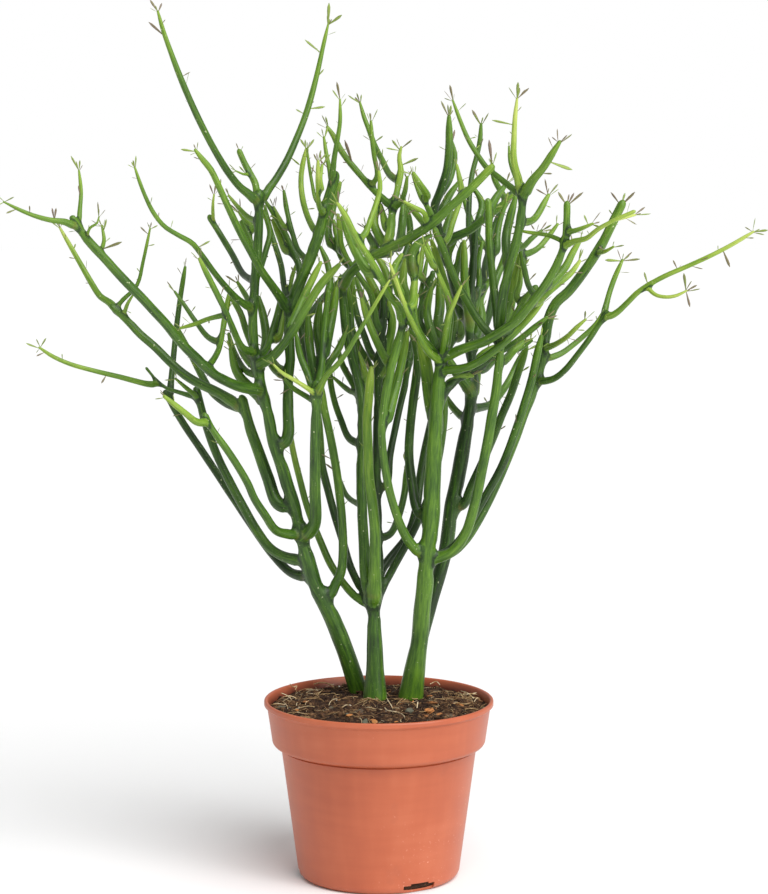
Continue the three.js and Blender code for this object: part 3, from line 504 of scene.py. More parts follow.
print("read limbs:", [len(rows) for rows in (LEFT_LIMBS, CENTRE_LIMBS, RIGHT_LIMBS, REAR_LIMBS)])

# %% [markdown]
# ## Finer limbs inside the crown
#
# Behind the front limbs the real crown is a thicket. These limbs show only as dark pieces between the
# others, so each row follows one such piece and roots it on the nearest carrier.

# %% The inner limbs
LEFT_LIMBS += [
    ("X1", "L15", 26, (7, 7, 6), "300,272 292,250 283,230 275,215 266,202"),
    ("X2", "L0", 40, (6, 6), "259,272 266,250 270,232 264,212"),
    ("X3", "L16", 24, (8, 8, 7), "290,330 301,303 311,282 320,264"),
    ("X5", "L17e", 26, (9, 8), "323,356 329,330 333,310 336,290"),
    ("X6", "L17", 46, (10, 10, 9), "316,392 313,366 309,340 308,318"),
    ("X7", "L17", 62, (9, 9, 8), "317,388 320,352 317,330 320,305"),
    ("X8", "L17", 20, (7, 7, 6), "315,398 308,375 300,355 296,334"),
    ("X9", "L17", 50, (8, 8, 7), "318,386 328,364 338,350 345,334"),
    ("X54", "L0", 30, (7, 7, 6), "256,356 246,330 240,312 231,298"),
    ("X55", "L0", 44, (9, 9, 8), "260,366 266,340 264,320 259,299"),
    ("X56", "L0", 56, (6, 5.5), "253,312 246,296 238,283"),
    ("X57", "L0", 24, (11, 10, 8), "262,398 248,386 237,372 231,350"),
    ("X58", "L0", 24, (7, 6), "257,266 252,245 243,224"),
    ("X69", "X58", 16, (8, 6), "251,228 246,221 240,213"),
    ("X70", "L15", 20, (11, 10, 9), "276,368 270,358 268,346"),
    ("X71", "L0", 34, (9, 8), "250,362 244,354 238,344"),
    ("X72", "L16b", 14, (8, 7), "277,338 280,326 283,312"),
    ("X78", "L15b3", 16, (5, 5), "321,190 320,178 322,166"),
    ("X79", "X1", 12, (9, 8, 7), "288,250 281,236 274,222"),
]
CENTRE_LIMBS += [
    ("X10", "C2", 20, (7, 6.5, 6), "361,404 352,382 343,366 338,350"),
    ("X11", "C2", 30, (7, 7, 6), "356,368 352,334 350,308 347,283"),
    ("X12", "C3", 30, (8, 7, 7), "378,388 368,362 358,345 353,329"),
    ("X13", "C3", 50, (7, 7, 6), "379,340 369,312 362,296 356,279"),
    ("X14", "C3", 14, (8, 8, 7), "382,325 378,298 371,282 362,265"),
    ("X15", "C3", 34, (8, 8, 7), "384,312 389,286 384,268 376,256"),
    ("X17", "C3", 8, (8, 8, 7), "382,372 389,340 392,322 388,303"),
    ("X27", "C3", 24, (6, 6), "379,410 385,380 385,362"),
    ("X49", "C15", 14, (6, 5, 4), "352,268 344,262 337,250 331,236"),
    ("X51", "U1", 26, (10, 9, 8), "388,252 379,236 374,222 379,204"),
    ("X52", "U1", 40, (9, 9, 8), "398,246 402,226 403,206"),
    ("X53", "U1", 30, (7, 6), "426,228 416,214 407,204"),
    ("X60", "X49", 20, (7, 7, 6), "332,246 328,228 333,208 340,184"),
    ("X61", "C12", 18, (7, 6), "386,226 383,215 381,206"),
    ("X62", "U1", 24, (9, 7), "374,245 369,236 366,228"),
    ("X75", "C7b", 16, (9, 8), "459,336 461,326 462,314"),
    ("X76", "C2", 24, (8, 8, 6), "365,380 363,368 359,354"),
    ("X77", "C17", -16, (7, 6), "427,196 420,184 414,174"),
]
RIGHT_LIMBS += [
    ("X16", "R4", 18, (8, 8, 7), "401,296 395,280 394,268 401,256"),
    ("X18", "R4", 30, (9, 9, 8), "413,326 408,300 403,282 405,262"),
    ("X19", "R11", 6, (8, 8, 6), "414,276 412,256 419,243 430,236"),
    ("X20", "R0", 6, (9, 8, 8, 7), "448,332 450,308 441,270 432,242"),
    ("X21", "R0", -28, (7, 7, 6), "434,352 419,332 414,312 417,296"),
    ("X22", "R0", 46, (11, 11, 9), "442,352 438,325 440,305 439,284"),
    ("X23", "R0", 26, (9, 9, 8), "438,350 429,325 427,308 431,290"),
    ("X24", "R0", 18, (12, 12, 11), "436,424 431,400 428,380 425,360 420,344"),
    ("X25", "R1", 20, (9, 9, 8), "386,420 395,390 401,365 407,334"),
    ("X29", "R0", 8, (8, 8, 7), "440,402 449,384 459,377 471,376"),
    ("X40", "R2a", 20, (9, 8, 6), "489,214 496,198 507,183"),
    ("X42", "R2b", 26, (9, 9, 8), "508,262 506,238 510,218 515,199"),
    ("X43", "R2", 20, (11, 11, 9), "501,340 509,308 514,282 519,257"),
    ("X44", "R6", 16, (8, 8, 7), "508,330 518,312 524,299 534,289"),
    ("X45", "R0", -34, (8, 8, 7), "470,366 500,346 524,323 541,304"),
    ("X46", "R2b", 30, (6, 6, 5), "516,250 524,246 531,239 541,231"),
    ("X47", "R6", 20, (8, 8, 6), "550,284 566,266 573,252 581,239"),
    ("X48", "R1a", 14, (9, 9, 8), "369,272 356,252 349,236 343,219"),
    ("X64", "R12", 24, (6, 5.5), "420,276 421,262 423,246"),
    ("X65", "R10", -20, (5, 5), "433,266 428,255 424,246"),
    ("X66", "R2a", 18, (7, 6.5, 5), "496,250 497,236 500,220 506,204"),
    ("X68", "X44", 20, (6, 5), "517,296 520,284 521,270"),
    ("X73", "R2", 24, (8, 8), "507,358 514,350 522,343"),
    ("X74", "R7", 30, (9, 9), "484,368 492,360 500,350"),
]
REAR_LIMBS += [
    ("X28", "B0", -8, (10, 9, 8), "470,390 456,372 444,352"),
    ("X30", "B0", 16, (11, 10, 8), "472,392 478,362 486,353 497,346"),
    ("X32", "B0", 20, (10, 10, 8), "471,350 481,318 479,300 488,282"),
    ("X33", "B0", -10, (8, 8, 7), "470,325 465,292 464,268 464,243"),
    ("X34", "B7", 12, (6, 6, 5), "456,290 450,270 449,254 456,240"),
    ("X35", "B0", 10, (6, 5), "473,315 479,285 478,262 482,243"),
    ("X36", "B5", 16, (9, 8, 6), "436,222 443,208 449,196 458,183"),
    ("X37", "B5", 30, (9, 9, 8), "442,256 445,234 451,213"),
    ("X39", "B0", 34, (8, 8, 6), "474,246 479,218 482,204 474,188"),
]
print("with the inner limbs:", [len(rows) for rows in (LEFT_LIMBS, CENTRE_LIMBS, RIGHT_LIMBS, REAR_LIMBS)])

# %% The stems and how far behind the axis each stands
STEMS = {
    "left": (LEFT_LIMBS, 0.032),
    "centre": (CENTRE_LIMBS, 0.012),
    "right": (RIGHT_LIMBS, 0.012),
    "rear": (REAR_LIMBS, 0.042),
}
print("limbs:", {name: len(rows) for name, (rows, depth) in STEMS.items()})

# %% [markdown]
# ## From the picture to the model
#
# A point of the picture is a ray into the room, and the depth picks the place on it. Where a limb starts
# it takes the depth of its carrier. Along the limb the depth changes fast at first and then levels out,
# as the sideways bend does. Widths in the picture become radii by the same perspective.

# %% Places and radii from the picture
def from_picture(across, down, depth):
    """The place that a picture point shows, so far behind the pot's axis."""
    right = (across - AXIS_ACROSS) / FOCAL_PIXELS
    up = (MIDDLE_DOWN - down) / FOCAL_PIXELS
    cos = math.cos(VIEW_TILT)
    sin = math.sin(VIEW_TILT)
    reach = (depth + VIEW_DISTANCE) / (cos + up * sin)
    return Vector((right * reach, depth, VIEW_HEIGHT + reach * (up * cos - sin)))


def metres_per_pixel(point):
    """How wide one pixel of the picture is at a point of the room."""
    ahead = (point.y + VIEW_DISTANCE) * math.cos(VIEW_TILT)
    below = (point.z - VIEW_HEIGHT) * math.sin(VIEW_TILT)
    return (ahead - below) / FOCAL_PIXELS


def read_pairs(text):
    return [tuple(float(number) for number in pair.split(",")) for pair in text.split()]


def value_along(values, share):
    """The value at a share of the way along a row of evenly spaced values."""
    place = share * (len(values) - 1)
    step = min(int(place), len(values) - 2)
    return values[step] + (values[step + 1] - values[step]) * (place - step)


print("a pixel at the plant's middle is", round(metres_per_pixel(PLANT_MIDDLE) / MM, 3), "mm")

# %% A smooth line through hand-read points
CURVE_STEPS = 14
SHORTEST_SPAN = 0.001
LEAST_GAP = 1e-9
WAY_LENGTH = 2 * MM


def smooth_line(points):
    """Fine points on the centripetal curve through the given ones, which never loops at a close pair."""
    ends = [points[0] * 2 - points[1], *points, points[-1] * 2 - points[-2]]
    line = []
    for before, start, end, after in zip(ends, ends[1:], ends[2:], ends[3:]):
        spans = ((before, start), (start, end), (end, after))
        first, middle, last = (max((b - a).length ** 0.5, SHORTEST_SPAN) for a, b in spans)
        leave = (start - before) / first - (end - before) / (first + middle) + (end - start) / middle
        arrive = (end - start) / middle - (after - start) / (middle + last) + (after - end) / last
        leave, arrive = leave * middle, arrive * middle
        for step in range(CURVE_STEPS):
            share = step / CURVE_STEPS
            line.append(start + leave * share + (3 * (end - start) - 2 * leave - arrive) * share ** 2
                        + (2 * (start - end) + leave + arrive) * share ** 3)
    return [*line, points[-1]]


def distances(line):
    """How far along a row of points each of them lies."""
    gone = [0.0]
    for here, ahead in zip(line, line[1:]):
        gone.append(gone[-1] + (ahead - here).length)
    return gone


class Line:
    """A smooth line that gives its point and direction at any distance from its start."""

    def __init__(self, points):
        self.points = smooth_line(points)
        self.gone = distances(self.points)
        self.length = self.gone[-1]
        self.tree = kdtree.KDTree(len(self.points))
        for index, point in enumerate(self.points):
            self.tree.insert(point, index)
        self.tree.balance()

    def at(self, distance):
        for index in range(1, len(self.gone)):
            if self.gone[index] >= distance:
                break
        low, high = self.gone[index - 1], self.gone[index]
        share = (distance - low) / max(high - low, LEAST_GAP)
        return self.points[index - 1].lerp(self.points[index], share)

    def way(self, distance):
        step = min(self.length, WAY_LENGTH) / 2
        start = max(0.0, min(distance - step, self.length - 2 * step))
        return (self.at(start + 2 * step) - self.at(start)).normalized()

    def nearest_to_pixel(self, across, down):
        """The distance along the line at which it passes nearest to a picture point."""
        gaps = [(from_picture(across, down, point.y) - point).length for point in self.points]
        return self.gone[gaps.index(min(gaps))]


print("smooth lines take", CURVE_STEPS, "steps from one read point to the next")

# %% [markdown]
# ## The limbs laid out
#
# A limb starts on its carrier's middle line, so that it is rooted in it, and a little lower than it is
# seen to leave, so that it leaves at a narrow angle. The four trunks go on down into the soil. Each limb
# remembers its carrier, because the swelling at a fork and the age of the skin depend on it: young tips
# are pale, and old wood is dark and grey-green.

# %% Lay out every limb
ROOT_LENGTH = 0.036
FORK_DROP = 1.3
TIP_STRETCH = 0.02
TIP_PART = 0.2


class Limb:
    """One limb: its line, its widths and what it grows from."""

    def __init__(self, row, carrier, foot_depth):
        self.tag, carrier_tag, reach, self.widths, text = row
        self.carrier = carrier
        self.children = []
        self.line = Line(limb_points(read_pairs(text), reach * MM, carrier, foot_depth))
        self.root = 0.0 if carrier else ROOT_LENGTH
        self.start = 0.0
        if carrier:
            carrier.children.append(self)
            self.start = carrier.line.gone[carrier.line.tree.find(self.line.points[0])[1]]

    def radius(self, distance):
        """Half the width; a trunk's widths start at the soil, above its root."""
        share = max(0.0, (distance - self.root) / (self.line.length - self.root))
        width = value_along(self.widths, share)
        return width / 2 * metres_per_pixel(self.line.at(distance))

    def beyond_tip(self):
        """How much further the plant goes on from this limb's tip."""
        last_stretch = max(TIP_PART * self.line.length, TIP_STRETCH)
        near_tip = [child for child in self.children if child.start > self.line.length - last_stretch]
        return max((child.line.length + child.beyond_tip() for child in near_tip), default=0.0)


def foot_on(carrier, across, down):
    """Where a limb is rooted on its carrier: some radii below the place where it is seen to leave."""
    nearest = carrier.line.nearest_to_pixel(across, down)
    return carrier.line.at(max(nearest - FORK_DROP * carrier.radius(nearest), 0.0))


def limb_points(pairs, reach, carrier, foot_depth):
    """A limb's points: from its carrier's depth it goes behind by its reach, fast at first."""
    foot = foot_on(carrier, *pairs[0]) if carrier else from_picture(*pairs[0], foot_depth)
    flat = [from_picture(*pair, foot.y) for pair in pairs]
    gone = distances([foot, *flat])[1:]
    placed = [from_picture(*pair, foot.y + reach * (1 - (1 - far / gone[-1]) ** 2))
              for pair, far in zip(pairs, gone)]
    if carrier:
        return [foot, *placed]
    down = (foot - placed[1]).normalized()
    return [foot + down * ROOT_LENGTH, *placed]


def lay_out(rows, foot_depth):
    limbs = {}
    for row in rows:
        limbs[row[0]] = Limb(row, limbs.get(row[1]), foot_depth)
    return limbs


layouts = {name: lay_out(rows, depth) for name, (rows, depth) in STEMS.items()}
all_limbs = [limb for limbs in layouts.values() for limb in limbs.values()]
print("metres of limb:", round(sum(limb.line.length for limb in all_limbs), 2))

# %% [markdown]
# ## The green skin
#
# Pencil-stemmed euphorbias have a smooth waxy skin with fine lengthwise streaks and small pale scars. Its
# green runs from dark on old limbs to a light yellow-green at the growing tips. On top of that, limbs deep
# in the crown are painted darker as painted shade, and front ones lighter as painted light. A picture of
# bark wouldn't stay sharp on two hundred limbs, so the skin is painted by rule: each point knows how young
# it is, how much painted light and shade its limb has, and which way round the limb it lies, and the streaks
# follow from that.

# %% Painted light and shade on each limb
# painted light and shade for each limb: 0.0 is painted shade on limbs deep in the crown and at the back, 0.7
# and 1.0 are painted light on lit front limbs
LIMB_LIGHT_AND_SHADE = {
    0.0: "L4 L4a L7b L8f L11a L12 L15a L15c L16b L17c L17d L17f L17g C2a C2b C2c C3 C3b C5 C6 C7 C7b C8 C9"
         " C9b C19 R3i R8 R12 R13 R7 R7a X1 X2 X5 X6 X7 X8 X9 X10 X11 X12 X13 X19 X22 X23 X27 X28 X32 X34"
         " X35 X36 X37 X39 X40 X42 X46 X52 X54 X55 X56 X57 X62 X66 X70 X71 X73 X74 X75 B0 B1 B2 B3 B4 B4a"
         " B4b B5 B5a B6 B7 B8 B9",
    0.7: "R0 L5b L6a L7a1 L15b2 L15b3 C1 C4 C12 C18 C20 U1 R1 R1a R1b R2 R3c R5 R6 R6e R10 R11 L12a L17a",
    1.0: "L17b R2b3 R3a2 R3a2a R4 R6b R6c",
}
PLAIN_LIGHT_AND_SHADE = 0.4
light_and_shade_of = {tag: tone for tone, tags in LIMB_LIGHT_AND_SHADE.items() for tag in tags.split()}
print("limbs with a tone of their own:", len(light_and_shade_of))

# %% Shader helper
NOISE_SPREAD = (0.3, 0.7)


class Finish:
    """A material's shader tree, written step by step like a recipe."""

    def __init__(self, title):
        self.material = bpy.data.materials.new(title)
        self.material.use_nodes = True
        self.tree = self.material.node_tree
        self.shader = self.tree.nodes["Principled BSDF"]

    def add(self, kind, sockets=(), **settings):
        return Recipe.add(self, kind, sockets, **settings)

    def read(self, name, output="Fac"):
        return self.add("ShaderNodeAttribute", attribute_name=name).outputs[output]

    def place(self, scale=(1, 1, 1)):
        """Object coordinates in metres, stretched by a scale."""
        coordinates = self.add("ShaderNodeTexCoord").outputs["Object"]
        return self.add("ShaderNodeMapping", {"Vector": coordinates, "Scale": scale})

    def noise(self, vector, scale, detail=3.0, roughness=0.5):
        sockets = {"Vector": vector, "Scale": scale, "Detail": detail, "Roughness": roughness}
        return self.add("ShaderNodeTexNoise", sockets).outputs["Fac"]

    def ramp(self, factor, *stops):
        """Colours along a scale from 0 to 1; each stop is a place and a colour."""
        step = self.add("ShaderNodeValToRGB", {"Fac": factor})
        elements = step.color_ramp.elements
        while len(elements) < len(stops):
            elements.new(0.5)
        for element, (place, colour) in zip(elements, stops):
            element.position = place
            element.color = colour
        return step.outputs["Color"]

    def span(self, value, low, high, to_low=0.0, to_high=1.0):
        """The share of the way from low to high, given as a value between two others."""
        sockets = {"Value": value, "From Min": low, "From Max": high, "To Min": to_low, "To Max": to_high}
        return self.add("ShaderNodeMapRange", sockets).outputs["Result"]

    def sway(self, value, low, high):
        """A noise, which seldom leaves its usual spread, given as a value from low to high."""
        return self.span(value, *NOISE_SPREAD, low, high)

    def mix(self, factor, first, second):
        sockets = {"Factor": factor, 6: first, 7: second}
        return self.add("ShaderNodeMix", sockets, data_type="RGBA").outputs[2]

    def maths(self, operation, first, second=0.0):
        return self.add("ShaderNodeMath", {0: first, 1: second}, operation=operation).outputs[0]

    def wire(self, name, value):
        target = self.shader.inputs[name]
        if isinstance(value, bpy.types.NodeSocket):
            self.tree.links.new(value, target)
        else:
            target.default_value = value

    def bump(self, height, strength, distance):
        sockets = {"Height": height, "Strength": strength, "Distance": distance}
        self.wire("Normal", self.add("ShaderNodeBump", sockets).outputs["Normal"])


print("finishes can be written")

# %% The green skin
# each noise: its scale, its detail and, for the streaks, its roughness
STREAK_NOISE = (3.2, 4.0, 0.65)
STREAK_STRETCH = 18.0
PATCH_NOISE = (26.0, 3.0)
DOT_NOISE = (900.0, 2.0)
SCAR_NOISE = (480.0, 1.0)
# how far a limb's painted light and shade moves its green
LIGHT_AND_SHADE_WEIGHT = 0.5
YOUNG_LIGHT = 0.45
PATCH_LIGHT = (-0.1, 0.12)
STREAK_LIGHT = (-0.18, 0.2)
GREENS = ((0.0, paint(26, 50, 12)), (0.22, paint(55, 91, 21)), (0.5, paint(92, 131, 32)),
          (0.8, paint(142, 171, 58)), (1.0, paint(184, 198, 98)))
# each span: two values of a noise, and how much paint there is at each, or none and all of it
DOT_SPAN, DOTTED_SPAN, DOT_COLOUR = (0.64, 0.74), (0.4, 0.6, 0.1, 0.4), paint(150, 164, 110)
SCAR_SPAN, SCAR_COLOUR = (0.74, 0.79, 0.0, 0.75), paint(196, 204, 158)
JOINT_SPAN, JOINT_COLOUR = (0.45, 0.62, 0.0, 0.45), paint(116, 104, 50)
SKIN_ROUGHNESS = (0.46, 0.34)
SKIN_SHINE = 0.4
STREAK_HEIGHT, DOT_HEIGHT = 0.8, 0.08
SKIN_BUMP = (0.5, 0.25 * MM)


def skin_light(skin, streaks, patches):
    """How light the green is: by the limb's painted light and shade, its age, patches and streaks."""
    light = skin.maths("ADD", skin.maths("MULTIPLY", skin.read("tone"), LIGHT_AND_SHADE_WEIGHT),
                       skin.sway(patches, *PATCH_LIGHT))
    light = skin.maths("ADD", light, skin.sway(streaks, *STREAK_LIGHT))
    return skin.maths("ADD", light, skin.maths("MULTIPLY", skin.read("young"), YOUNG_LIGHT))


def green_skin():
    skin = Finish("green_skin")
    turn = skin.add("ShaderNodeSeparateXYZ", {0: skin.read("turn", "Vector")})
    along = skin.maths("MULTIPLY", skin.read("along"), STREAK_STRETCH)
    round_limb = skin.add("ShaderNodeCombineXYZ", {0: turn.outputs[0], 1: turn.outputs[1], 2: along})
    streaks = skin.noise(round_limb, *STREAK_NOISE)
    patches = skin.noise(skin.place(), *PATCH_NOISE)
    fine = skin.noise(skin.place(), *DOT_NOISE)
    colour = skin.ramp(skin_light(skin, streaks, patches), *GREENS)
    dots = skin.maths("MULTIPLY", skin.span(fine, *DOT_SPAN), skin.span(patches, *DOTTED_SPAN))
    colour = skin.mix(dots, colour, DOT_COLOUR)
    scars = skin.span(skin.noise(skin.place(), *SCAR_NOISE), *SCAR_SPAN)
    colour = skin.mix(scars, colour, SCAR_COLOUR)
    joint = skin.maths("MULTIPLY", skin.read("joint"), skin.span(patches, *JOINT_SPAN))
    skin.wire("Base Color", skin.mix(joint, colour, JOINT_COLOUR))
    skin.wire("Roughness", skin.sway(streaks, *SKIN_ROUGHNESS))
    skin.wire("Specular IOR Level", SKIN_SHINE)
    height = skin.maths("ADD", skin.maths("MULTIPLY", streaks, STREAK_HEIGHT),
                        skin.maths("MULTIPLY", fine, DOT_HEIGHT))
    skin.bump(height, *SKIN_BUMP)
    return skin.material


skin_material = green_skin()
print("finish:", skin_material.name)

# %% [markdown]
# ## Limbs as one closed skin
#
# Where a real limb leaves its carrier the skin runs over in a soft crotch, and a narrow brown ring shows
# where the two grew together. Tubes that only cross each other would show a hard line. So each limb flares
# at its foot, its carrier swells a little there, and the recipe joins all tubes of a stem to one skin and
# then lets the seams sink into a smooth curve.

# %% Rings along a limb
RING_SPACING = 0.0042
FOOT_SPACING = 0.0018
FOOT_STRETCH = 0.026
FOOT_FLARE = 0.5
FLARE_REACH = 2.2
FORK_SWELLING = 0.12
SWELLING_REACH = 1.8
FOOT_SHARE = 0.85
FOOT_OPENING = 1.4
TIP_SHARES = (0.25, 0.5, 0.7, 0.85, 0.95, 0.99)
TIP_POINT = 1.5
TAPER_LENGTH = 0.012
TAPER_LEAST = 0.62
UNEVENNESS = 0.035
UNEVEN_LENGTH = 14 * MM
YOUNG_LENGTH = 0.055
JOINT_BAND = 0.0014


def ring_distances(length):
    places = []
    distance = 0.0
    while distance < length - RING_SPACING / 2:
        places.append(distance)
        distance += FOOT_SPACING if distance < FOOT_STRETCH else RING_SPACING
    return [*places, length]


def carrier_at(limb, point):
    """How far a point lies from the middle line of the limb's carrier, and the carrier's radius there."""
    if not limb.carrier:
        return math.inf, 0.0
    index, away = limb.carrier.line.tree.find(point)[1:]
    return away, limb.carrier.radius(limb.carrier.line.gone[index])


def shaped_radius(limb, distance, point, away, around):
    """A limb's radius with the flare at its foot, a swelling at each fork and a taper at a free tip."""
    radius = limb.radius(distance)
    flare = FOOT_FLARE * math.exp(-max(away - around, 0.0) / (FLARE_REACH * radius))
    swelling = 0.0
    for child in limb.children:
        past = (distance - child.start - radius) / (SWELLING_REACH * radius)
        swelling = max(swelling, FORK_SWELLING * math.exp(-past * past))
    uneven = UNEVENNESS * noise.noise(point / UNEVEN_LENGTH)
    taper = 1.0
    if not limb.beyond_tip():
        left = min((limb.line.length - distance) / TAPER_LENGTH, 1.0)
        taper = TAPER_LEAST + (1 - TAPER_LEAST) * math.sin(left * math.pi / 2)
    hidden_foot = around * FOOT_SHARE + away * FOOT_OPENING
    return min(radius * (1 + flare + swelling + uneven) * taper, hidden_foot)


def limb_rings(limb):
    """Rings from foot to rounded tip: point, radius, distance, and the gap to the carrier's skin."""
    rings = []
    for distance in ring_distances(limb.line.length):
        point = limb.line.at(distance)
        away, around = carrier_at(limb, point)
        rings.append((point, shaped_radius(limb, distance, point, away, around), distance, away - around))
    point, radius, distance, gap = rings[-1]
    way = limb.line.way(distance)
    for share in TIP_SHARES:
        ahead = way * radius * share * TIP_POINT
        rings.append((point + ahead, radius * math.sqrt(1 - share * share), distance, gap))
    return rings


def stem_guide(name, limbs):
    """One path for each limb of a stem, with all that the skin's recipe and paint read."""
    points, edges, radii, tones, ages, alongs, joints, numbers = [], [], [], [], [], [], [], []
    for number, limb in enumerate(limbs.values()):
        beyond = limb.beyond_tip()
        for index, (point, radius, distance, gap) in enumerate(limb_rings(limb)):
            if index:
                edges.append((len(points) - 1, len(points)))
            points.append(point)
            radii.append(radius)
            # each ring carries its limb's painted light and shade as its tone
            tones.append(light_and_shade_of.get(limb.tag, PLAIN_LIGHT_AND_SHADE))
            ages.append(math.exp(-(limb.line.length - distance + beyond) / YOUNG_LENGTH))
            alongs.append(distance + number)
            joints.append(math.exp(-(gap / JOINT_BAND) ** 2) if limb.carrier else 0.0)
            numbers.append(number)
    return guide_object(name, points, edges, radius=radii, tone=tones, young=ages, along=alongs,
                        joint=joints, limb=numbers)


print("rings every", round(RING_SPACING / MM, 1), "mm, at a foot every", round(FOOT_SPACING / MM, 1), "mm")

# %% The recipe for a joined skin
SEAM_STEPS = 3
SEAM_STRENGTH = 3.0


def joined_skin():
    recipe = Recipe("joined_skin")
    sides = recipe.size("Sides", "Int")
    softening = recipe.size("Softening Steps", "Int")
    lines = recipe.add("GeometryNodeMeshToCurve", {"Mesh": recipe.guide()})
    circle = recipe.add("GeometryNodeCurvePrimitiveCircle", {"Resolution": sides, "Radius": 1.0})
    position = recipe.add("GeometryNodeInputPosition")
    circle = recipe.store(circle, "turn", position, "FLOAT_VECTOR")
    sockets = {"Curve": lines, "Profile Curve": circle, "Scale": recipe.read("radius"), "Fill Caps": True}
    tubes = recipe.add("GeometryNodeCurveToMesh", sockets)
    sockets = {"Geometry": tubes, "Group ID": recipe.read("limb", "INT")}
    apart = recipe.add("GeometryNodeSplitToInstances", sockets, domain="FACE")
    union = recipe.add("GeometryNodeMeshBoolean", {1: apart.outputs["Instances"]},
                       operation="UNION", solver="MANIFOLD")
    marked = recipe.store(union.outputs["Mesh"], "seam", union.outputs["Intersecting Edges"])
    near = recipe.add("GeometryNodeBlurAttribute", {"Value": recipe.read("seam"), "Iterations": SEAM_STEPS})
    weight = recipe.maths("MINIMUM", recipe.maths("MULTIPLY", near, SEAM_STRENGTH), 1.0)
    sockets = {"Value": position, "Iterations": softening, "Weight": weight}
    blurred = recipe.add("GeometryNodeBlurAttribute", sockets, data_type="FLOAT_VECTOR")
    soft = recipe.add("GeometryNodeSetPosition", {"Geometry": marked, "Position": blurred})
    smooth_edges = recipe.add("GeometryNodeSetShadeSmooth", {"Geometry": soft, "Shade Smooth": True},
                              domain="EDGE")
    return recipe.finish(smooth_edges, skin_material)


skin_recipe = joined_skin()
print("recipe:", skin_recipe.tree.name)

# %% Grow the four stems
STEM_SIZES = {"Sides": 14, "Softening Steps": 10}

for name, limbs in layouts.items():
    stem = cook("green_stem_" + name, stem_guide("guide_" + name, limbs), skin_recipe, STEM_SIZES)
    dress(stem, "green_stem", "stem_" + name)

# %% [markdown]
# ## The small leaves
#
# A pencil-stemmed euphorbia has leaves only on this year's growth: spoon-shaped, hardly 10 mm long, and
# soon dry. Each tip carries a small tuft and a few stand along the young skin. They all have one shape, so
# a recipe makes it once and sets it on points that know which way each leaf leans and how dry it is.

# %% Where the leaves stand
class Leaves:
    """The places of the leaves, with the values that the recipe reads."""

    def __init__(self, seed):
        self.random = random.Random(seed)
        self.places, self.ways, self.faces, self.sizes, self.dryness = [], [], [], [], []

    def add(self, place, way, faces, twist, length, dryness):
        """One leaf; its upper side faces a given way, but for a random twist about itself."""
        face = faces - way * faces.dot(way)
        face = face.normalized() if face.length > SMALLEST_FACE else way.orthogonal().normalized()
        self.places.append(place)
        self.ways.append(way)
        self.faces.append(Matrix.Rotation(self.random.uniform(-twist, twist), 3, way) @ face)
        self.sizes.append(Vector((length, length * self.random.uniform(*LEAF_SLIMNESS), length)))
        self.dryness.append(dryness)


LEAF_SLIMNESS = (0.11, 0.19)
LEAF_TWIST = math.radians(85)
READ_LEAF_TWIST = math.radians(35)
LEAF_DRYNESS = (0.0, 0.95)
SMALLEST_FACE = 1e-4
TUFT_LEAVES = (2, 4)
TUFT_LENGTHS = (5 * MM, 11 * MM)
TUFT_LEAN = (math.radians(12), math.radians(55))
TUFT_TURN = 0.5
SINGLE_LENGTHS = (4 * MM, 9 * MM)
SINGLE_LEAN = (math.radians(35), math.radians(75))
SINGLE_GAPS = (7 * MM, 22 * MM)
SINGLE_TURNS = (1.6, 3.0)
BARE_PART = 0.3
LEAFY_LENGTH = 0.075
ROOT_SHARE = 0.75


def leaf_way(way, turn, lean):
    """A direction that leans away from a limb's own, turned round it."""
    side = Matrix.Rotation(turn, 3, way) @ way.orthogonal().normalized()
    return (way * math.cos(lean) + side * math.sin(lean)).normalized(), side


def add_tuft(leaves, limb):
    """A few leaves round a limb's tip."""
    pick = leaves.random
    end, way = limb.line.at(limb.line.length), limb.line.way(limb.line.length)
    radius = limb.radius(limb.line.length)
    count = pick.randint(*TUFT_LEAVES)
    first = pick.uniform(0, 2 * math.pi)
    for number in range(count):
        turn = first + 2 * math.pi * number / count + pick.uniform(-TUFT_TURN, TUFT_TURN)
        leaf, side = leaf_way(way, turn, pick.uniform(*TUFT_LEAN))
        length = pick.uniform(*TUFT_LENGTHS)
        leaves.add(end + side * radius * TAPER_LEAST / 2, leaf, way, LEAF_TWIST, length,
                   pick.uniform(*LEAF_DRYNESS))


def add_singles(leaves, limb, beyond):
    """Leaves down the young end of a limb, thinning out with age."""
    pick = leaves.random
    distance = limb.line.length - pick.uniform(*SINGLE_GAPS) / 2
    turn = pick.uniform(0, 2 * math.pi)
    bare = BARE_PART * limb.line.length
    while distance > bare and limb.line.length - distance + beyond < LEAFY_LENGTH:
        way = limb.line.way(distance)
        leaf, side = leaf_way(way, turn, pick.uniform(*SINGLE_LEAN))
        root = limb.line.at(distance) + side * limb.radius(distance) * ROOT_SHARE
        leaves.add(root, leaf, way, LEAF_TWIST, pick.uniform(*SINGLE_LENGTHS), pick.uniform(*LEAF_DRYNESS))
        turn += pick.uniform(*SINGLE_TURNS)
        distance -= pick.uniform(*SINGLE_GAPS)


print("leaves stand on the last", LEAFY_LENGTH / MM, "mm of each limb")
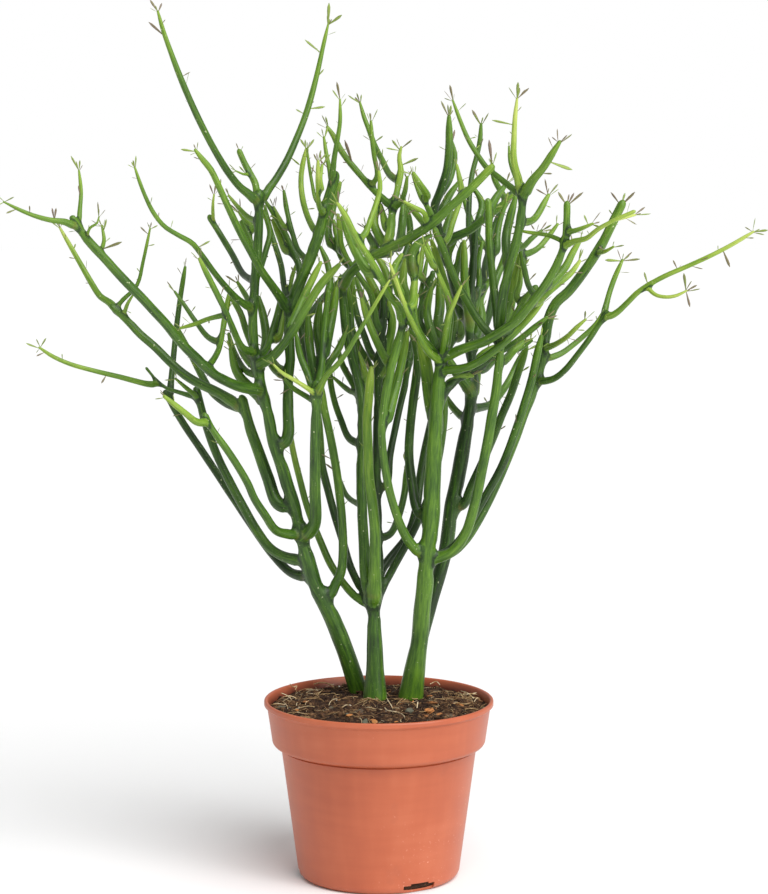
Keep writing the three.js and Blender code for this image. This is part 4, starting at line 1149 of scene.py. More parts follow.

# %% Leaves listed one by one
READ_LEAVES = (
    "157,9 150,0|161,38 149,22|183,77 190,72|329,22 329,3|329,22 342,15|318,53 305,40|310,110 325,107|"
    "292,157 300,165|55,218 52,208|55,218 56,208|79,168 71,156|79,168 80,160|106,251 122,242|"
    "199,246 210,241|198,152 190,155|340,100 337,82|328,124 322,115|360,103 355,97|559,143 552,137|"
    "559,143 565,138|453,101 450,85|517,99 518,82|517,99 529,88|512,125 492,120|549,192 545,179|"
    "549,192 558,184|549,192 536,189|621,206 611,192|621,206 625,193|621,206 631,195|621,206 635,192|"
    "623,258 632,252|623,258 640,259|623,258 605,260|753,232 745,227|753,232 768,230|726,257 730,267|"
    "676,267 673,260|646,283 644,272|686,291 690,307|686,291 684,273|686,291 697,285|567,206 558,192|"
    "567,206 569,194|567,206 574,193|567,206 583,192|449,118 441,101|449,118 453,110|481,125 472,110|"
    "481,125 483,117|237,152 236,143|237,152 243,146|309,158 308,146|320,160 321,150|352,168 345,140|"
    "377,142 383,136|396,150 386,148|396,150 392,140|405,165 418,158|470,138 476,137|491,158 489,140|"
    "551,163 572,170|588,225 584,215|4,202 14,197|40,348 46,338|40,348 36,353|389,281 396,277|"
    "274,365 268,360|60,228 56,222|135,168 133,160|158,12 152,2|488,204 480,196|462,198 458,188|"
    "523,190 516,182"
)
READ_LEAF_DEPTH = 4


def nearest_on_plant(across, down):
    """The limb, and the distance along it, that the view shows nearest to a picture point."""
    found = []
    for limb in all_limbs:
        distance = limb.line.nearest_to_pixel(across, down)
        place = limb.line.at(distance)
        found.append(((from_picture(across, down, place.y) - place).length, limb, distance))
    return min(found, key=lambda near: near[0])[1:]


def add_read_leaves(leaves):
    """Leaves whose roots and tips were read from the view, each on the limb nearest to its root."""
    for text in READ_LEAVES.split("|"):
        root, tip = read_pairs(text)
        limb, distance = nearest_on_plant(*root)
        place = limb.line.at(distance)
        end = from_picture(*tip, place.y + leaves.random.uniform(-READ_LEAF_DEPTH, READ_LEAF_DEPTH) * MM)
        start = place + (end - place).normalized() * limb.radius(distance) / 2
        leaves.add(start, (end - start).normalized(), VIEW_POINT - start, READ_LEAF_TWIST,
                   (end - start).length, leaves.random.uniform(*LEAF_DRYNESS))


LEAF_SEED = 5
leaves = Leaves(LEAF_SEED)
add_read_leaves(leaves)
for limb in all_limbs:
    beyond = limb.beyond_tip()
    if not beyond:
        add_tuft(leaves, limb)
    add_singles(leaves, limb, beyond)
print("leaves:", len(leaves.places))

# %% The leaves' skin
LEAF_NOISE = 160.0
LEAF_SPOTS = (-0.15, 0.15)
LEAF_COLOURS = ((0.1, paint(142, 164, 72)), (0.45, paint(126, 142, 70)), (0.7, paint(124, 118, 78)),
                (1.0, paint(126, 108, 92)))
LEAF_ROUGHNESS = 0.55


def leaf_skin():
    """Green where a leaf is fresh, brownish where it is dry, with soft spots of either."""
    leaf = Finish("leaf_skin")
    spots = leaf.sway(leaf.noise(leaf.place(), LEAF_NOISE), *LEAF_SPOTS)
    leaf.wire("Base Color", leaf.ramp(leaf.maths("ADD", leaf.read("dry"), spots), *LEAF_COLOURS))
    leaf.wire("Roughness", LEAF_ROUGHNESS)
    return leaf.material


leaf_material = leaf_skin()
print("finish:", leaf_material.name)

# %% The recipe for a leaf
LEAF_OUTLINE = ((0.0, 0.32), (0.3, 0.62), (0.65, 1.0), (0.88, 0.85), (1.0, 0.2))
LEAF_HANDLES = (0.33, 0.7)
LEAF_RINGS = 6
LEAF_SIDES = 6
LEAF_SIZES = {"Curl": 0.16, "Thickness": 0.35}


def leaf_shape(recipe, curl, thickness):
    """A spoon-shaped leaf one unit long and one unit wide, on the x axis, curled towards z."""
    foot_handle, tip_handle = LEAF_HANDLES
    line = recipe.add("GeometryNodeCurvePrimitiveBezierSegment",
                      {"Start": (0, 0, 0), "Start Handle": (foot_handle, 0, 0),
                       "End Handle": (tip_handle, 0, 0),
                       "End": recipe.add("ShaderNodeCombineXYZ", {0: 1.0, 2: curl})})
    line = recipe.add("GeometryNodeResampleCurve", {"Curve": line, "Count": LEAF_RINGS})
    along = recipe.add("GeometryNodeSplineParameter")
    outline = recipe.add("ShaderNodeFloatCurve", {"Value": along.outputs["Factor"]})
    points = outline.mapping.curves[0].points
    points[0].location, points[-1].location = LEAF_OUTLINE[0], LEAF_OUTLINE[-1]
    for place in LEAF_OUTLINE[1:-1]:
        points.new(*place)
    outline.mapping.update()
    circle = recipe.add("GeometryNodeCurvePrimitiveCircle", {"Resolution": LEAF_SIDES, "Radius": 0.5})
    squeeze = recipe.add("ShaderNodeCombineXYZ", {0: 1.0, 1: thickness, 2: 1.0})
    flat = recipe.add("GeometryNodeTransform", {"Geometry": circle, "Scale": squeeze})
    return recipe.add("GeometryNodeCurveToMesh",
                      {"Curve": line, "Profile Curve": flat, "Scale": outline, "Fill Caps": True})


def leaf_recipe():
    recipe = Recipe("spoon_leaves")
    shape = leaf_shape(recipe, recipe.size("Curl"), recipe.size("Thickness"))
    directions = {"Primary Axis": recipe.read("way", "FLOAT_VECTOR"),
                  "Secondary Axis": recipe.read("face", "FLOAT_VECTOR")}
    lie = recipe.add("FunctionNodeAxesToRotation", directions, primary_axis="X", secondary_axis="Z")
    size = recipe.add("ShaderNodeSeparateXYZ", {0: recipe.read("size", "FLOAT_VECTOR")})
    length, width = size.outputs[0], size.outputs[1]
    scale = recipe.add("ShaderNodeCombineXYZ", {0: length, 1: width, 2: width})
    placed = recipe.add("GeometryNodeInstanceOnPoints",
                        {"Points": recipe.guide(), "Instance": shape, "Rotation": lie, "Scale": scale})
    return recipe.finish(recipe.store(placed, "dry", recipe.read("dry"), domain="INSTANCE"), leaf_material)


leaf_guide = guide_object("leaf_guide", leaves.places, way=leaves.ways, face=leaves.faces, size=leaves.sizes,
                          dry=leaves.dryness)
dress(cook("small_leaves", leaf_guide, leaf_recipe(), LEAF_SIZES), "green_stem")

# %% [markdown]
# ## The pot
#
# A nursery pot is moulded in one thin piece of satin plastic. A deep collar stiffens its rim, and slots in
# the corner of its base let water out. It is one outline turned about the axis, so rows of rings give its
# lip and corners exactly. The slots repeat round the base, so a recipe cuts them.

# %% Rings of points
ROUND_STEPS = 160


def ring(radius, height):
    """A ring of points round the pot's axis; the height is a number or a rule of x and y."""
    flat = circle_points(radius, ROUND_STEPS)
    return [Vector((x, y, height(x, y) if callable(height) else height)) for x, y in flat]


def ring_mesh(name, rings, first=None, last=None):
    """Faces between rings, closed at a first and a last middle point where they are given."""
    points = [point for ring_points in rings for point in ring_points]
    faces = []
    for row in range(len(rings) - 1):
        for step in range(ROUND_STEPS):
            here, beside = row * ROUND_STEPS + step, row * ROUND_STEPS + (step + 1) % ROUND_STEPS
            faces.append((here, beside, beside + ROUND_STEPS, here + ROUND_STEPS))
    if first:
        faces += [(len(points), (step + 1) % ROUND_STEPS, step) for step in range(ROUND_STEPS)]
        points.append(first)
    if last:
        start = (len(rings) - 1) * ROUND_STEPS
        faces += [(start + step, start + (step + 1) % ROUND_STEPS, len(points))
                  for step in range(ROUND_STEPS)]
        points.append(last)
    mesh = bpy.data.meshes.new(name)
    mesh.from_pydata(points, [], faces)
    return mesh


def mark_points(mesh, title, values):
    mesh.attributes.new(title, "FLOAT", "POINT").data.foreach_set("value", values)


print("rings have", ROUND_STEPS, "points")

# %% The pot's outline
rim_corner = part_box("pot")[1]
RIM_RADIUS = rim_corner.x
POT_HEIGHT = rim_corner.z
WALL = 1.7 * MM
BASE_RADIUS = 60.4 * MM
BASE_CORNER = 6.5 * MM
NECK_RADIUS, NECK_HEIGHT = 72.4 * MM, 98 * MM
COLLAR_BOTTOM_RADIUS, COLLAR_BOTTOM = 79.2 * MM, 103.5 * MM
COLLAR_TOP_RADIUS, COLLAR_TOP = 82.7 * MM, 127.5 * MM
COLLAR_UNDERCUT = 4.5 * MM
LIP_ROUND = 1.4 * MM
LIP_DROP = 2.2 * MM
GROOVE_WIDTH = 1.1 * MM
GROOVE_DEPTH = 0.7 * MM
CORNER_STEPS = 6
WALL_STEPS = 8


def corner(radius, height, rounding, start, end):
    """A round corner of the outline, from one angle to another in degrees."""
    angles = [math.radians(start + (end - start) * step / CORNER_STEPS) for step in range(CORNER_STEPS + 1)]
    return [(radius + rounding * math.cos(angle), height + rounding * math.sin(angle)) for angle in angles]


def straight(start, end):
    """Points on a straight wall, without its ends, so that its faces stay nearly square."""
    return [tuple(a + (b - a) * step / WALL_STEPS for a, b in zip(start, end))
            for step in range(1, WALL_STEPS)]


def pot_outside():
    base = corner(BASE_RADIUS - BASE_CORNER, BASE_CORNER, BASE_CORNER, -90, 0)
    collar = corner(COLLAR_BOTTOM_RADIUS - COLLAR_UNDERCUT, COLLAR_BOTTOM, COLLAR_UNDERCUT, -60, 0)
    lip = corner(RIM_RADIUS - LIP_ROUND, POT_HEIGHT - LIP_ROUND, LIP_ROUND, 0, 180)
    neck, top = (NECK_RADIUS, NECK_HEIGHT), (COLLAR_TOP_RADIUS, COLLAR_TOP)
    groove = [(NECK_RADIUS, NECK_HEIGHT - GROOVE_WIDTH),
              (NECK_RADIUS - GROOVE_DEPTH, NECK_HEIGHT - GROOVE_WIDTH / 2)]
    shoulder = (RIM_RADIUS, POT_HEIGHT - LIP_ROUND - LIP_DROP)
    return [*base, *straight(base[-1], groove[0]), *groove, neck, *collar, *straight(collar[-1], top), top,
            shoulder, *lip]


def pot_inside():
    neck = (NECK_RADIUS - WALL, NECK_HEIGHT + WALL)
    floor = corner(BASE_RADIUS - BASE_CORNER, BASE_CORNER, BASE_CORNER - WALL, 0, -90)
    return [(COLLAR_TOP_RADIUS - WALL, COLLAR_TOP), (COLLAR_BOTTOM_RADIUS - WALL, COLLAR_BOTTOM + WALL),
            neck, *floor]


outside, inside = pot_outside(), pot_inside()
print("the outline has", len(outside), "points outside and", len(inside), "inside")

# %% Satin plastic
UPRIGHT_NOISE, UPRIGHT_STRETCH = (75.0, 3.0), (1, 1, 0.1)
LEVEL_NOISE, LEVEL_STRETCH = (120.0, 4.0), (0.12, 0.12, 1)
CLOUD_NOISE, GRAIN_NOISE = (13.0, 3.0), (520.0, 2.0)
STREAK_SWAY = (-0.1, 0.1)
TERRACOTTAS = ((0.15, paint(171, 83, 52)), (0.5, paint(184, 94, 60)), (0.9, paint(196, 108, 74)))
SCUFF_GRAIN, SCUFF_CLOUD, SCUFF_PAINT = (0.66, 0.74), (0.52, 0.66), 0.6
SCUFF_COLOUR = paint(228, 172, 150)
SMUDGE_NOISE, SMUDGE_SPAN, SMUDGE_COLOUR = (46.0, 5.0), (0.64, 0.78, 0.0, 0.35), paint(158, 84, 60)
# the inside: partly painted shade in the pot's hollow, partly soil
SHADE_AND_SOIL_NOISE, SHADE_AND_SOIL_SPAN, SHADE_AND_SOIL_COLOUR = (90.0, 4.0), (0.3, 0.62, 0.6, 0.95), paint(104, 50, 34)
PLASTIC_ROUGHNESS = (0.2, 0.8, 0.34, 0.46)
GRAIN_HEIGHT = 0.3
PLASTIC_BUMP = (0.25, 0.12 * MM)


def satin_plastic():
    """Orange-brown plastic with faint upright and level streaks, pale scuffs, and on its inside soil and
    painted shade.
    """
    plastic = Finish("satin_plastic")
    upright = plastic.noise(plastic.place(UPRIGHT_STRETCH), *UPRIGHT_NOISE)
    level = plastic.noise(plastic.place(LEVEL_STRETCH), *LEVEL_NOISE)
    cloud = plastic.noise(plastic.place(), *CLOUD_NOISE)
    grain = plastic.noise(plastic.place(), *GRAIN_NOISE)
    streaks = plastic.maths("ADD", plastic.sway(upright, *STREAK_SWAY), plastic.sway(level, *STREAK_SWAY))
    mixed = plastic.maths("ADD", streaks, cloud)
    scuffs = plastic.maths("MULTIPLY", plastic.span(grain, *SCUFF_GRAIN), plastic.span(cloud, *SCUFF_CLOUD))
    colour = plastic.mix(plastic.maths("MULTIPLY", scuffs, SCUFF_PAINT), plastic.ramp(mixed, *TERRACOTTAS),
                         SCUFF_COLOUR)
    smudge = plastic.span(plastic.noise(plastic.place(), *SMUDGE_NOISE), *SMUDGE_SPAN)
    colour = plastic.mix(smudge, colour, SMUDGE_COLOUR)
    # the inside wall is darkened all over: painted shade, with patches of soil
    shade_and_soil = plastic.span(plastic.noise(plastic.place(), *SHADE_AND_SOIL_NOISE), *SHADE_AND_SOIL_SPAN)
    shade_and_soil = plastic.maths("MULTIPLY", shade_and_soil, plastic.read("inside"))
    plastic.wire("Base Color", plastic.mix(shade_and_soil, colour, SHADE_AND_SOIL_COLOUR))
    plastic.wire("Roughness", plastic.span(mixed, *PLASTIC_ROUGHNESS))
    height = plastic.maths("ADD", plastic.maths("MULTIPLY", grain, GRAIN_HEIGHT), level)
    plastic.bump(height, *PLASTIC_BUMP)
    return plastic.material


plastic_material = satin_plastic()
print("finish:", plastic_material.name)

# %% The recipe that cuts the drain slots
DRAIN_SLOTS = 3
FIRST_SLOT = math.radians(-60)
SHARP_ANGLE = math.radians(32)
SLOT_SIZES = {"Slot Width": 26 * MM, "Slot Height": 6.3 * MM, "Slot Depth": 9 * MM, "Notch Width": 15 * MM,
              "Notch Height": 7.6 * MM}


def slot_boxes(recipe, places, width, height):
    """Boxes that face outwards; half of each hangs below the base, so that it cuts the base open."""
    size = recipe.add("ShaderNodeCombineXYZ", {0: recipe.source.outputs["Slot Depth"], 1: width,
                                               2: recipe.maths("MULTIPLY", height, 2.0)})
    box = recipe.add("GeometryNodeMeshCube", {"Size": size})
    outward = recipe.add("FunctionNodeAlignRotationToVector",
                         {"Vector": recipe.add("GeometryNodeInputPosition")}, axis="X")
    return recipe.add("GeometryNodeInstanceOnPoints",
                      {"Points": places, "Instance": box, "Rotation": outward})


def drained_pot():
    recipe = Recipe("drained_pot")
    sizes = {title: recipe.size(title) for title in SLOT_SIZES}
    corners = recipe.add("GeometryNodeMeshCircle", {"Vertices": DRAIN_SLOTS, "Radius": BASE_RADIUS})
    places = recipe.add("GeometryNodeTransform", {"Geometry": corners, "Rotation": (0, 0, FIRST_SLOT)})
    cut = recipe.guide()
    for part in ("Slot", "Notch"):
        boxes = slot_boxes(recipe, places, sizes[part + " Width"], sizes[part + " Height"])
        cut = recipe.add("GeometryNodeMeshBoolean", {0: cut, 1: boxes},
                         operation="DIFFERENCE", solver="MANIFOLD")
    bend = recipe.add("GeometryNodeInputMeshEdgeAngle")
    sharp = recipe.add("FunctionNodeCompare", {0: bend, 1: SHARP_ANGLE}, operation="GREATER_THAN")
    sockets = {"Geometry": cut, "Selection": sharp, "Shade Smooth": False}
    edged = recipe.add("GeometryNodeSetShadeSmooth", sockets, domain="EDGE")
    return recipe.finish(edged, plastic_material)


def turn_pot():
    """The outline turned round the axis, closed at the base's two middles, with its inside marked."""
    rings = [ring(radius, height) for radius, height in outside + inside]
    mesh = ring_mesh("pot_blank", rings, Vector((0, 0, 0)), Vector((0, 0, WALL)))
    inner = [float(index >= len(outside)) for index in range(len(rings)) for step in range(ROUND_STEPS)]
    # the marked inside gets the painted shade and soil
    mark_points(mesh, "inside", [*inner, 0.0, 1.0])
    return cook("nursery_pot", add_object("pot_blank", mesh), drained_pot(), SLOT_SIZES)


dress(turn_pot(), "pot_plastic", "pot")

# %% [markdown]
# ## The soil
#
# Potting soil is dark peat with straw fibres, bark chips and a few white grains, mounded round the stems
# and lower at the wall. A bump pattern alone looks like a painted lid. So the body carries real lumps, and
# recipes scatter crumbs and fibres over its top, thickest where they gather in the pot.

# %% The soil's top
SOIL_MIDDLE = 131 * MM
SOIL_EDGE = 127 * MM
MOUND_FLAT = 34 * MM
FIT_GAP = 0.35 * MM
RELIEF = ((19 * MM, 1.6 * MM), (8 * MM, 1.5 * MM), (3.6 * MM, 0.9 * MM))
TOP_ROWS = 34


def pot_wall(height):
    """The inside radius of the collar at a height."""
    share = (height - COLLAR_BOTTOM) / (COLLAR_TOP - COLLAR_BOTTOM)
    return COLLAR_BOTTOM_RADIUS + (COLLAR_TOP_RADIUS - COLLAR_BOTTOM_RADIUS) * share - WALL


SOIL_RADIUS = pot_wall(SOIL_EDGE) - FIT_GAP


def soil_height(x, y):
    share = min(max((math.hypot(x, y) - MOUND_FLAT) / (SOIL_RADIUS - MOUND_FLAT), 0.0), 1.0)
    fall = share * share * (3 - 2 * share)
    relief = sum(height * noise.noise(Vector((x, y, width)) / width) for width, height in RELIEF)
    return SOIL_MIDDLE + (SOIL_EDGE - SOIL_MIDDLE) * fall + relief


def soil_top(radius):
    """Rings from a radius inwards to the middle of the soil's top."""
    radii = [radius * (TOP_ROWS - row) / TOP_ROWS for row in range(TOP_ROWS)]
    return [ring(row_radius, soil_height) for row_radius in radii], Vector((0, 0, soil_height(0, 0)))


print("soil radius at the wall:", round(SOIL_RADIUS / MM, 1), "mm")

# %% Potting soil
CRUMB_NOISE, CRUMB_LIGHT = (240.0, 6.0, 0.7), (-0.3, 0.34)
SOIL_NOISE, SOIL_LIGHT = (55.0, 4.0), (-0.12, 0.16)
TONE_SPAN = (0.0, 1.0, 0.15, 0.6)
PEATS = ((0.05, paint(30, 20, 16)), (0.4, paint(62, 43, 31)), (0.7, paint(104, 76, 52)),
         (0.95, paint(150, 118, 84)))
SOIL_ROUGHNESS, SOIL_SHINE = 0.95, 0.2
SOIL_BUMP = (0.8, 1.2 * MM)


def potting_soil():
    """Dark peat, lighter in crumbs and patches, and by each crumb's own tone."""
    soil = Finish("potting_soil")
    crumbs = soil.noise(soil.place(), *CRUMB_NOISE)
    patches = soil.noise(soil.place(), *SOIL_NOISE)
    light = soil.maths("ADD", soil.sway(crumbs, *CRUMB_LIGHT), soil.sway(patches, *SOIL_LIGHT))
    light = soil.maths("ADD", light, soil.span(soil.read("tone"), *TONE_SPAN))
    soil.wire("Base Color", soil.ramp(light, *PEATS))
    soil.wire("Roughness", SOIL_ROUGHNESS)
    soil.wire("Specular IOR Level", SOIL_SHINE)
    soil.bump(crumbs, *SOIL_BUMP)
    return soil.material


soil_material = potting_soil()
print("finish:", soil_material.name)

# %% The soil's body
BODY_TONE = 0.25


def soil_body():
    shell = [(radius - FIT_GAP, height + FIT_GAP) for radius, height in reversed(inside[1:])]
    top, middle = soil_top(SOIL_RADIUS)
    rings = [ring(radius, height) for radius, height in shell] + top
    mesh = ring_mesh("potting_soil", rings, Vector((0, 0, WALL + FIT_GAP)), middle)
    mesh.materials.append(soil_material)
    mesh.shade_smooth()
    mark_points(mesh, "tone", [BODY_TONE] * len(mesh.vertices))
    return add_object("potting_soil", mesh)


dress(soil_body(), "soil", "soil")

# %% Where straw gathers
STRAW_PLACES = ((-70, 10, 1.0, 16), (-52, 44, 0.7, 16), (62, 24, 1.0, 18), (72, -6, 0.9, 14),
                (28, 60, 0.8, 14), (-4, 2, 0.7, 13), (16, 0, 0.6, 11), (46, -28, 0.6, 16),
                (-28, -30, 0.4, 18))
LEAST_STRAW = 0.2
SCATTER_EDGE = 2.2 * MM
SCATTER_GAP = 0.3 * MM
LARGEST_LEAN = 0.35


def straw_share(point):
    """How much straw lies at a point: places are x and y in mm, a share, and a spread in mm."""
    share = LEAST_STRAW
    for x, y, most, spread in STRAW_PLACES:
        away = (point - Vector((x * MM, y * MM, point.z))).length / (spread * MM)
        share = max(share, most * math.exp(-away * away))
    return share


def scatter_ground(name):
    """A copy of the soil's top, a little clear of the wall, that knows how much straw lies on it."""
    top, middle = soil_top(SOIL_RADIUS - SCATTER_EDGE)
    mesh = ring_mesh(name, top, last=middle)
    mark_points(mesh, "straw", [straw_share(vertex.co) for vertex in mesh.vertices])
    return add_object(name, mesh)


print("straw gathers in", len(STRAW_PLACES), "places")

# %% The recipe for scattered bits
MOSTLY_SMALL = 2.5
PICK_NUMBERS = (0, 9)


def random_value(recipe, low, high, seed, kind="FLOAT"):
    """A random number, vector or whole number for each bit, by a fixed seed."""
    step = recipe.add("FunctionNodeRandomValue", data_type=kind)
    for name, value in (("Min", low), ("Max", high), ("Seed", seed)):
        named = next(socket for socket in step.inputs if socket.name == name and socket.enabled)
        if isinstance(value, bpy.types.NodeSocket):
            recipe.tree.links.new(value, named)
        else:
            named.default_value = value
    return next(socket for socket in step.outputs if socket.enabled)


def scatter(recipe, places, shapes, smallest, largest, stretch, seed):
    """Puts random shapes on places: mostly small ones, each turned, stretched and toned its own way."""
    spread = recipe.maths("POWER", random_value(recipe, 0.0, 1.0, seed), MOSTLY_SMALL)
    size = recipe.add("ShaderNodeMapRange", {"Value": spread, "To Min": smallest, "To Max": largest})
    low, high = stretch
    scale = recipe.add("ShaderNodeVectorMath", {0: random_value(recipe, low, high, seed + 1, "FLOAT_VECTOR"),
                                                "Scale": size}, operation="SCALE")
    lean = (-LARGEST_LEAN, -LARGEST_LEAN, 0.0), (LARGEST_LEAN, LARGEST_LEAN, 2 * math.pi)
    turn = random_value(recipe, *lean, seed + 2, "FLOAT_VECTOR")
    sockets = {"Rotation": places.outputs["Rotation"], "Rotate By": turn}
    rotation = recipe.add("FunctionNodeRotateRotation", sockets, rotation_space="LOCAL")
    picked = random_value(recipe, *PICK_NUMBERS, seed + 3, "INT")
    placed = recipe.add("GeometryNodeInstanceOnPoints",
                        {"Points": places, "Instance": shapes, "Pick Instance": True, "Rotation": rotation,
                         "Scale": scale, "Instance Index": picked})
    toned = recipe.store(placed, "tone", random_value(recipe, 0.0, 1.0, seed + 4), domain="INSTANCE")
    return keep_in_pot(recipe, toned)


def keep_in_pot(recipe, geometry):
    """Pushes back inwards whatever would cross the pot's wall."""
    real = recipe.add("GeometryNodeRealizeInstances", {"Geometry": geometry})
    position = recipe.add("GeometryNodeInputPosition")
    flat = recipe.add("ShaderNodeVectorMath", {0: position, 1: (1, 1, 0)}, operation="MULTIPLY")
    out = recipe.add("ShaderNodeVectorMath", {0: flat}, operation="LENGTH").outputs["Value"]
    too_far = recipe.maths("MAXIMUM", recipe.maths("SUBTRACT", out, SOIL_RADIUS - SCATTER_GAP))
    share = recipe.maths("DIVIDE", recipe.maths("MULTIPLY", too_far, -1.0), out)
    back = recipe.add("ShaderNodeVectorMath", {0: flat, "Scale": share}, operation="SCALE")
    return recipe.add("GeometryNodeSetPosition", {"Geometry": real, "Offset": back})


def group(recipe, *pieces):
    """Several shapes as a set of instances to pick from."""
    together = recipe.add("GeometryNodeGeometryToInstance")
    for piece in reversed(pieces):
        recipe.tree.links.new(piece.outputs[0], together.inputs[0])
    return together


print("bits can be scattered")

# %% Crumbs of peat
LUMP_NOISE = {"Scale": 2.1, "Detail": 2.0}
LUMP_SPREAD = {"From Min": 0.25, "From Max": 0.75, "To Min": 0.45, "To Max": 1.25}
SMALL_FINENESS, SMALL_SEEDS = 1, (1.0, 2.0, 3.0)
LARGE_FINENESS, LARGE_SEEDS = 2, (4.0, 5.0, 6.0)
CRUMB_STRETCH = ((0.6, 0.5, 0.35), (1.3, 1.1, 0.85))
SCATTER_INPUTS = ("Pieces per m2", "Smallest", "Largest")
CRUMB_SEED, CRUMB_AMOUNT = 11, (200000.0, 0.9 * MM, 4.5 * MM)
CLOD_SEED, CLOD_AMOUNT = 23, (15000.0, 3 * MM, 8 * MM)


def lump(recipe, seed, fineness):
    """A rough little lump about one unit across."""
    ball = recipe.add("GeometryNodeMeshIcoSphere", {"Radius": 0.5, "Subdivisions": fineness})
    position = recipe.add("GeometryNodeInputPosition")
    place = recipe.add("ShaderNodeVectorMath", {0: position, 1: (seed, seed, 0.0)}, operation="ADD")
    rough = recipe.add("ShaderNodeTexNoise", {"Vector": place, **LUMP_NOISE}).outputs["Fac"]
    share = recipe.add("ShaderNodeMapRange", {"Value": rough, **LUMP_SPREAD})
    moved = recipe.add("ShaderNodeVectorMath", {0: position, "Scale": share}, operation="SCALE")
    return recipe.add("GeometryNodeSetPosition", {"Geometry": ball, "Position": moved})


def small_lumps(recipe):
    return [lump(recipe, seed, SMALL_FINENESS) for seed in SMALL_SEEDS]


def large_lumps(recipe):
    return [lump(recipe, seed, LARGE_FINENESS) for seed in LARGE_SEEDS]


def scattered(title, material, shapes, stretch, seed, along_straw=False):
    """A recipe that strews one kind of bit over the ground that guides it."""
    recipe = Recipe(title)
    per_area, smallest, largest = (recipe.size(name) for name in SCATTER_INPUTS)
    if along_straw:
        per_area = recipe.maths("MULTIPLY", per_area, recipe.read("straw"))
    places = recipe.add("GeometryNodeDistributePointsOnFaces",
                        {"Mesh": recipe.guide(), "Density": per_area, "Seed": seed})
    made = group(recipe, *shapes(recipe))
    return recipe.finish(scatter(recipe, places, made, smallest, largest, stretch, seed), material)


def strew(name, amount, *settings, **more):
    """Strews bits of one name over the soil, so many in a square metre and from one size to another."""
    recipe = scattered(name, *settings, **more)
    sizes = dict(zip(SCATTER_INPUTS, amount))
    dress(cook(name, scatter_ground("ground_" + name), recipe, sizes), "soil")


strew("soil_crumbs", CRUMB_AMOUNT, soil_material, small_lumps, CRUMB_STRETCH, CRUMB_SEED)
strew("soil_clods", CLOD_AMOUNT, soil_material, large_lumps, CRUMB_STRETCH, CLOD_SEED)

# %% Straw fibres
SPOT_LIGHT = (-0.2, 0.2)
STRAW_NOISE, STRAW_ROUGHNESS = (300.0, 2.0), 0.8
STRAW_COLOURS = ((0.1, paint(96, 66, 42)), (0.5, paint(150, 114, 72)), (0.8, paint(196, 164, 116)),
                 (1.0, paint(226, 208, 172)))
FIBRE_SIDES, FIBRE_STEPS = 3, 7
FIBRE_THICKNESS = 0.028
FIBRE_BENDS = ((0.3, 0.35), (0.4, -0.3), (0.05, 0.2))
FIBRE_STRETCH = ((0.7, 0.3, 0.3), (1.3, 0.9, 0.8))
FIBRE_SEED, FIBRE_AMOUNT = 37, (170000.0, 4 * MM, 17 * MM)


def bit_finish(title, spots, roughness, stops):
    """A dull finish whose colour goes by each bit's own tone, with soft spots."""
    finish = Finish(title)
    spotted = finish.sway(finish.noise(finish.place(), *spots), *SPOT_LIGHT)
    finish.wire("Base Color", finish.ramp(finish.maths("ADD", finish.read("tone"), spotted), *stops))
    finish.wire("Roughness", roughness)
    return finish.material


def fibre(recipe, start_bend, end_bend):
    """A thin curved fibre one unit long."""
    line = recipe.add("GeometryNodeCurvePrimitiveBezierSegment",
                      {"Start": (-0.5, 0, 0), "Start Handle": (-0.2, start_bend, 0.16),
                       "End Handle": (0.2, end_bend, 0.2), "End": (0.5, 0, 0), "Resolution": FIBRE_STEPS})
    round_section = recipe.add("GeometryNodeCurvePrimitiveCircle",
                               {"Resolution": FIBRE_SIDES, "Radius": FIBRE_THICKNESS})
    return recipe.add("GeometryNodeCurveToMesh",
                      {"Curve": line, "Profile Curve": round_section, "Fill Caps": True})


def fibres(recipe):
    return [fibre(recipe, start_bend, end_bend) for start_bend, end_bend in FIBRE_BENDS]


straw_material = bit_finish("dry_straw", STRAW_NOISE, STRAW_ROUGHNESS, STRAW_COLOURS)
strew("straw_fibres", FIBRE_AMOUNT, straw_material, fibres, FIBRE_STRETCH, FIBRE_SEED, along_straw=True)

# %% White grains and bark chips
BIT_NOISE = (400.0, 3.0)
GRAIN_ROUGHNESS, GRAIN_COLOURS = 0.9, ((0.2, paint(196, 184, 166)), (0.8, paint(236, 232, 222)))
BARK_ROUGHNESS = 0.85
BARK_COLOURS = ((0.1, paint(92, 92, 76)), (0.35, paint(84, 56, 36)), (0.65, paint(134, 88, 50)),
                (0.95, paint(186, 122, 66)))
GRAIN_STRETCH = ((0.8, 0.8, 0.7), (1.1, 1.1, 1.0))
GRAIN_SEED, GRAIN_AMOUNT = 41, (1700.0, 1.0 * MM, 2.6 * MM)
CHIP_STRETCH = ((1.0, 0.5, 0.16), (1.6, 0.9, 0.34))
CHIP_SEED, CHIP_AMOUNT = 53, (4200.0, 3 * MM, 9 * MM)

grain_material = bit_finish("white_grain", BIT_NOISE, GRAIN_ROUGHNESS, GRAIN_COLOURS)
bark_material = bit_finish("bark_chip", BIT_NOISE, BARK_ROUGHNESS, BARK_COLOURS)
strew("white_grains", GRAIN_AMOUNT, grain_material, large_lumps, GRAIN_STRETCH, GRAIN_SEED)
strew("bark_chips", CHIP_AMOUNT, bark_material, large_lumps, CHIP_STRETCH, CHIP_SEED)

# %% [markdown]
# ## Bits that stand out
#
# A few bits catch the eye: an orange and a grey-green chip, a bark flake, pale roots that leave the stems'
# feet, and straws along the rim. Each was read from the view. The ray through its place meets the
# soil's top there, so it lies on the soil from any side.

# %% Where a ray meets the soil
RAY_STEP = 0.4 * MM
BETWEEN_STEMS = (400, 706)


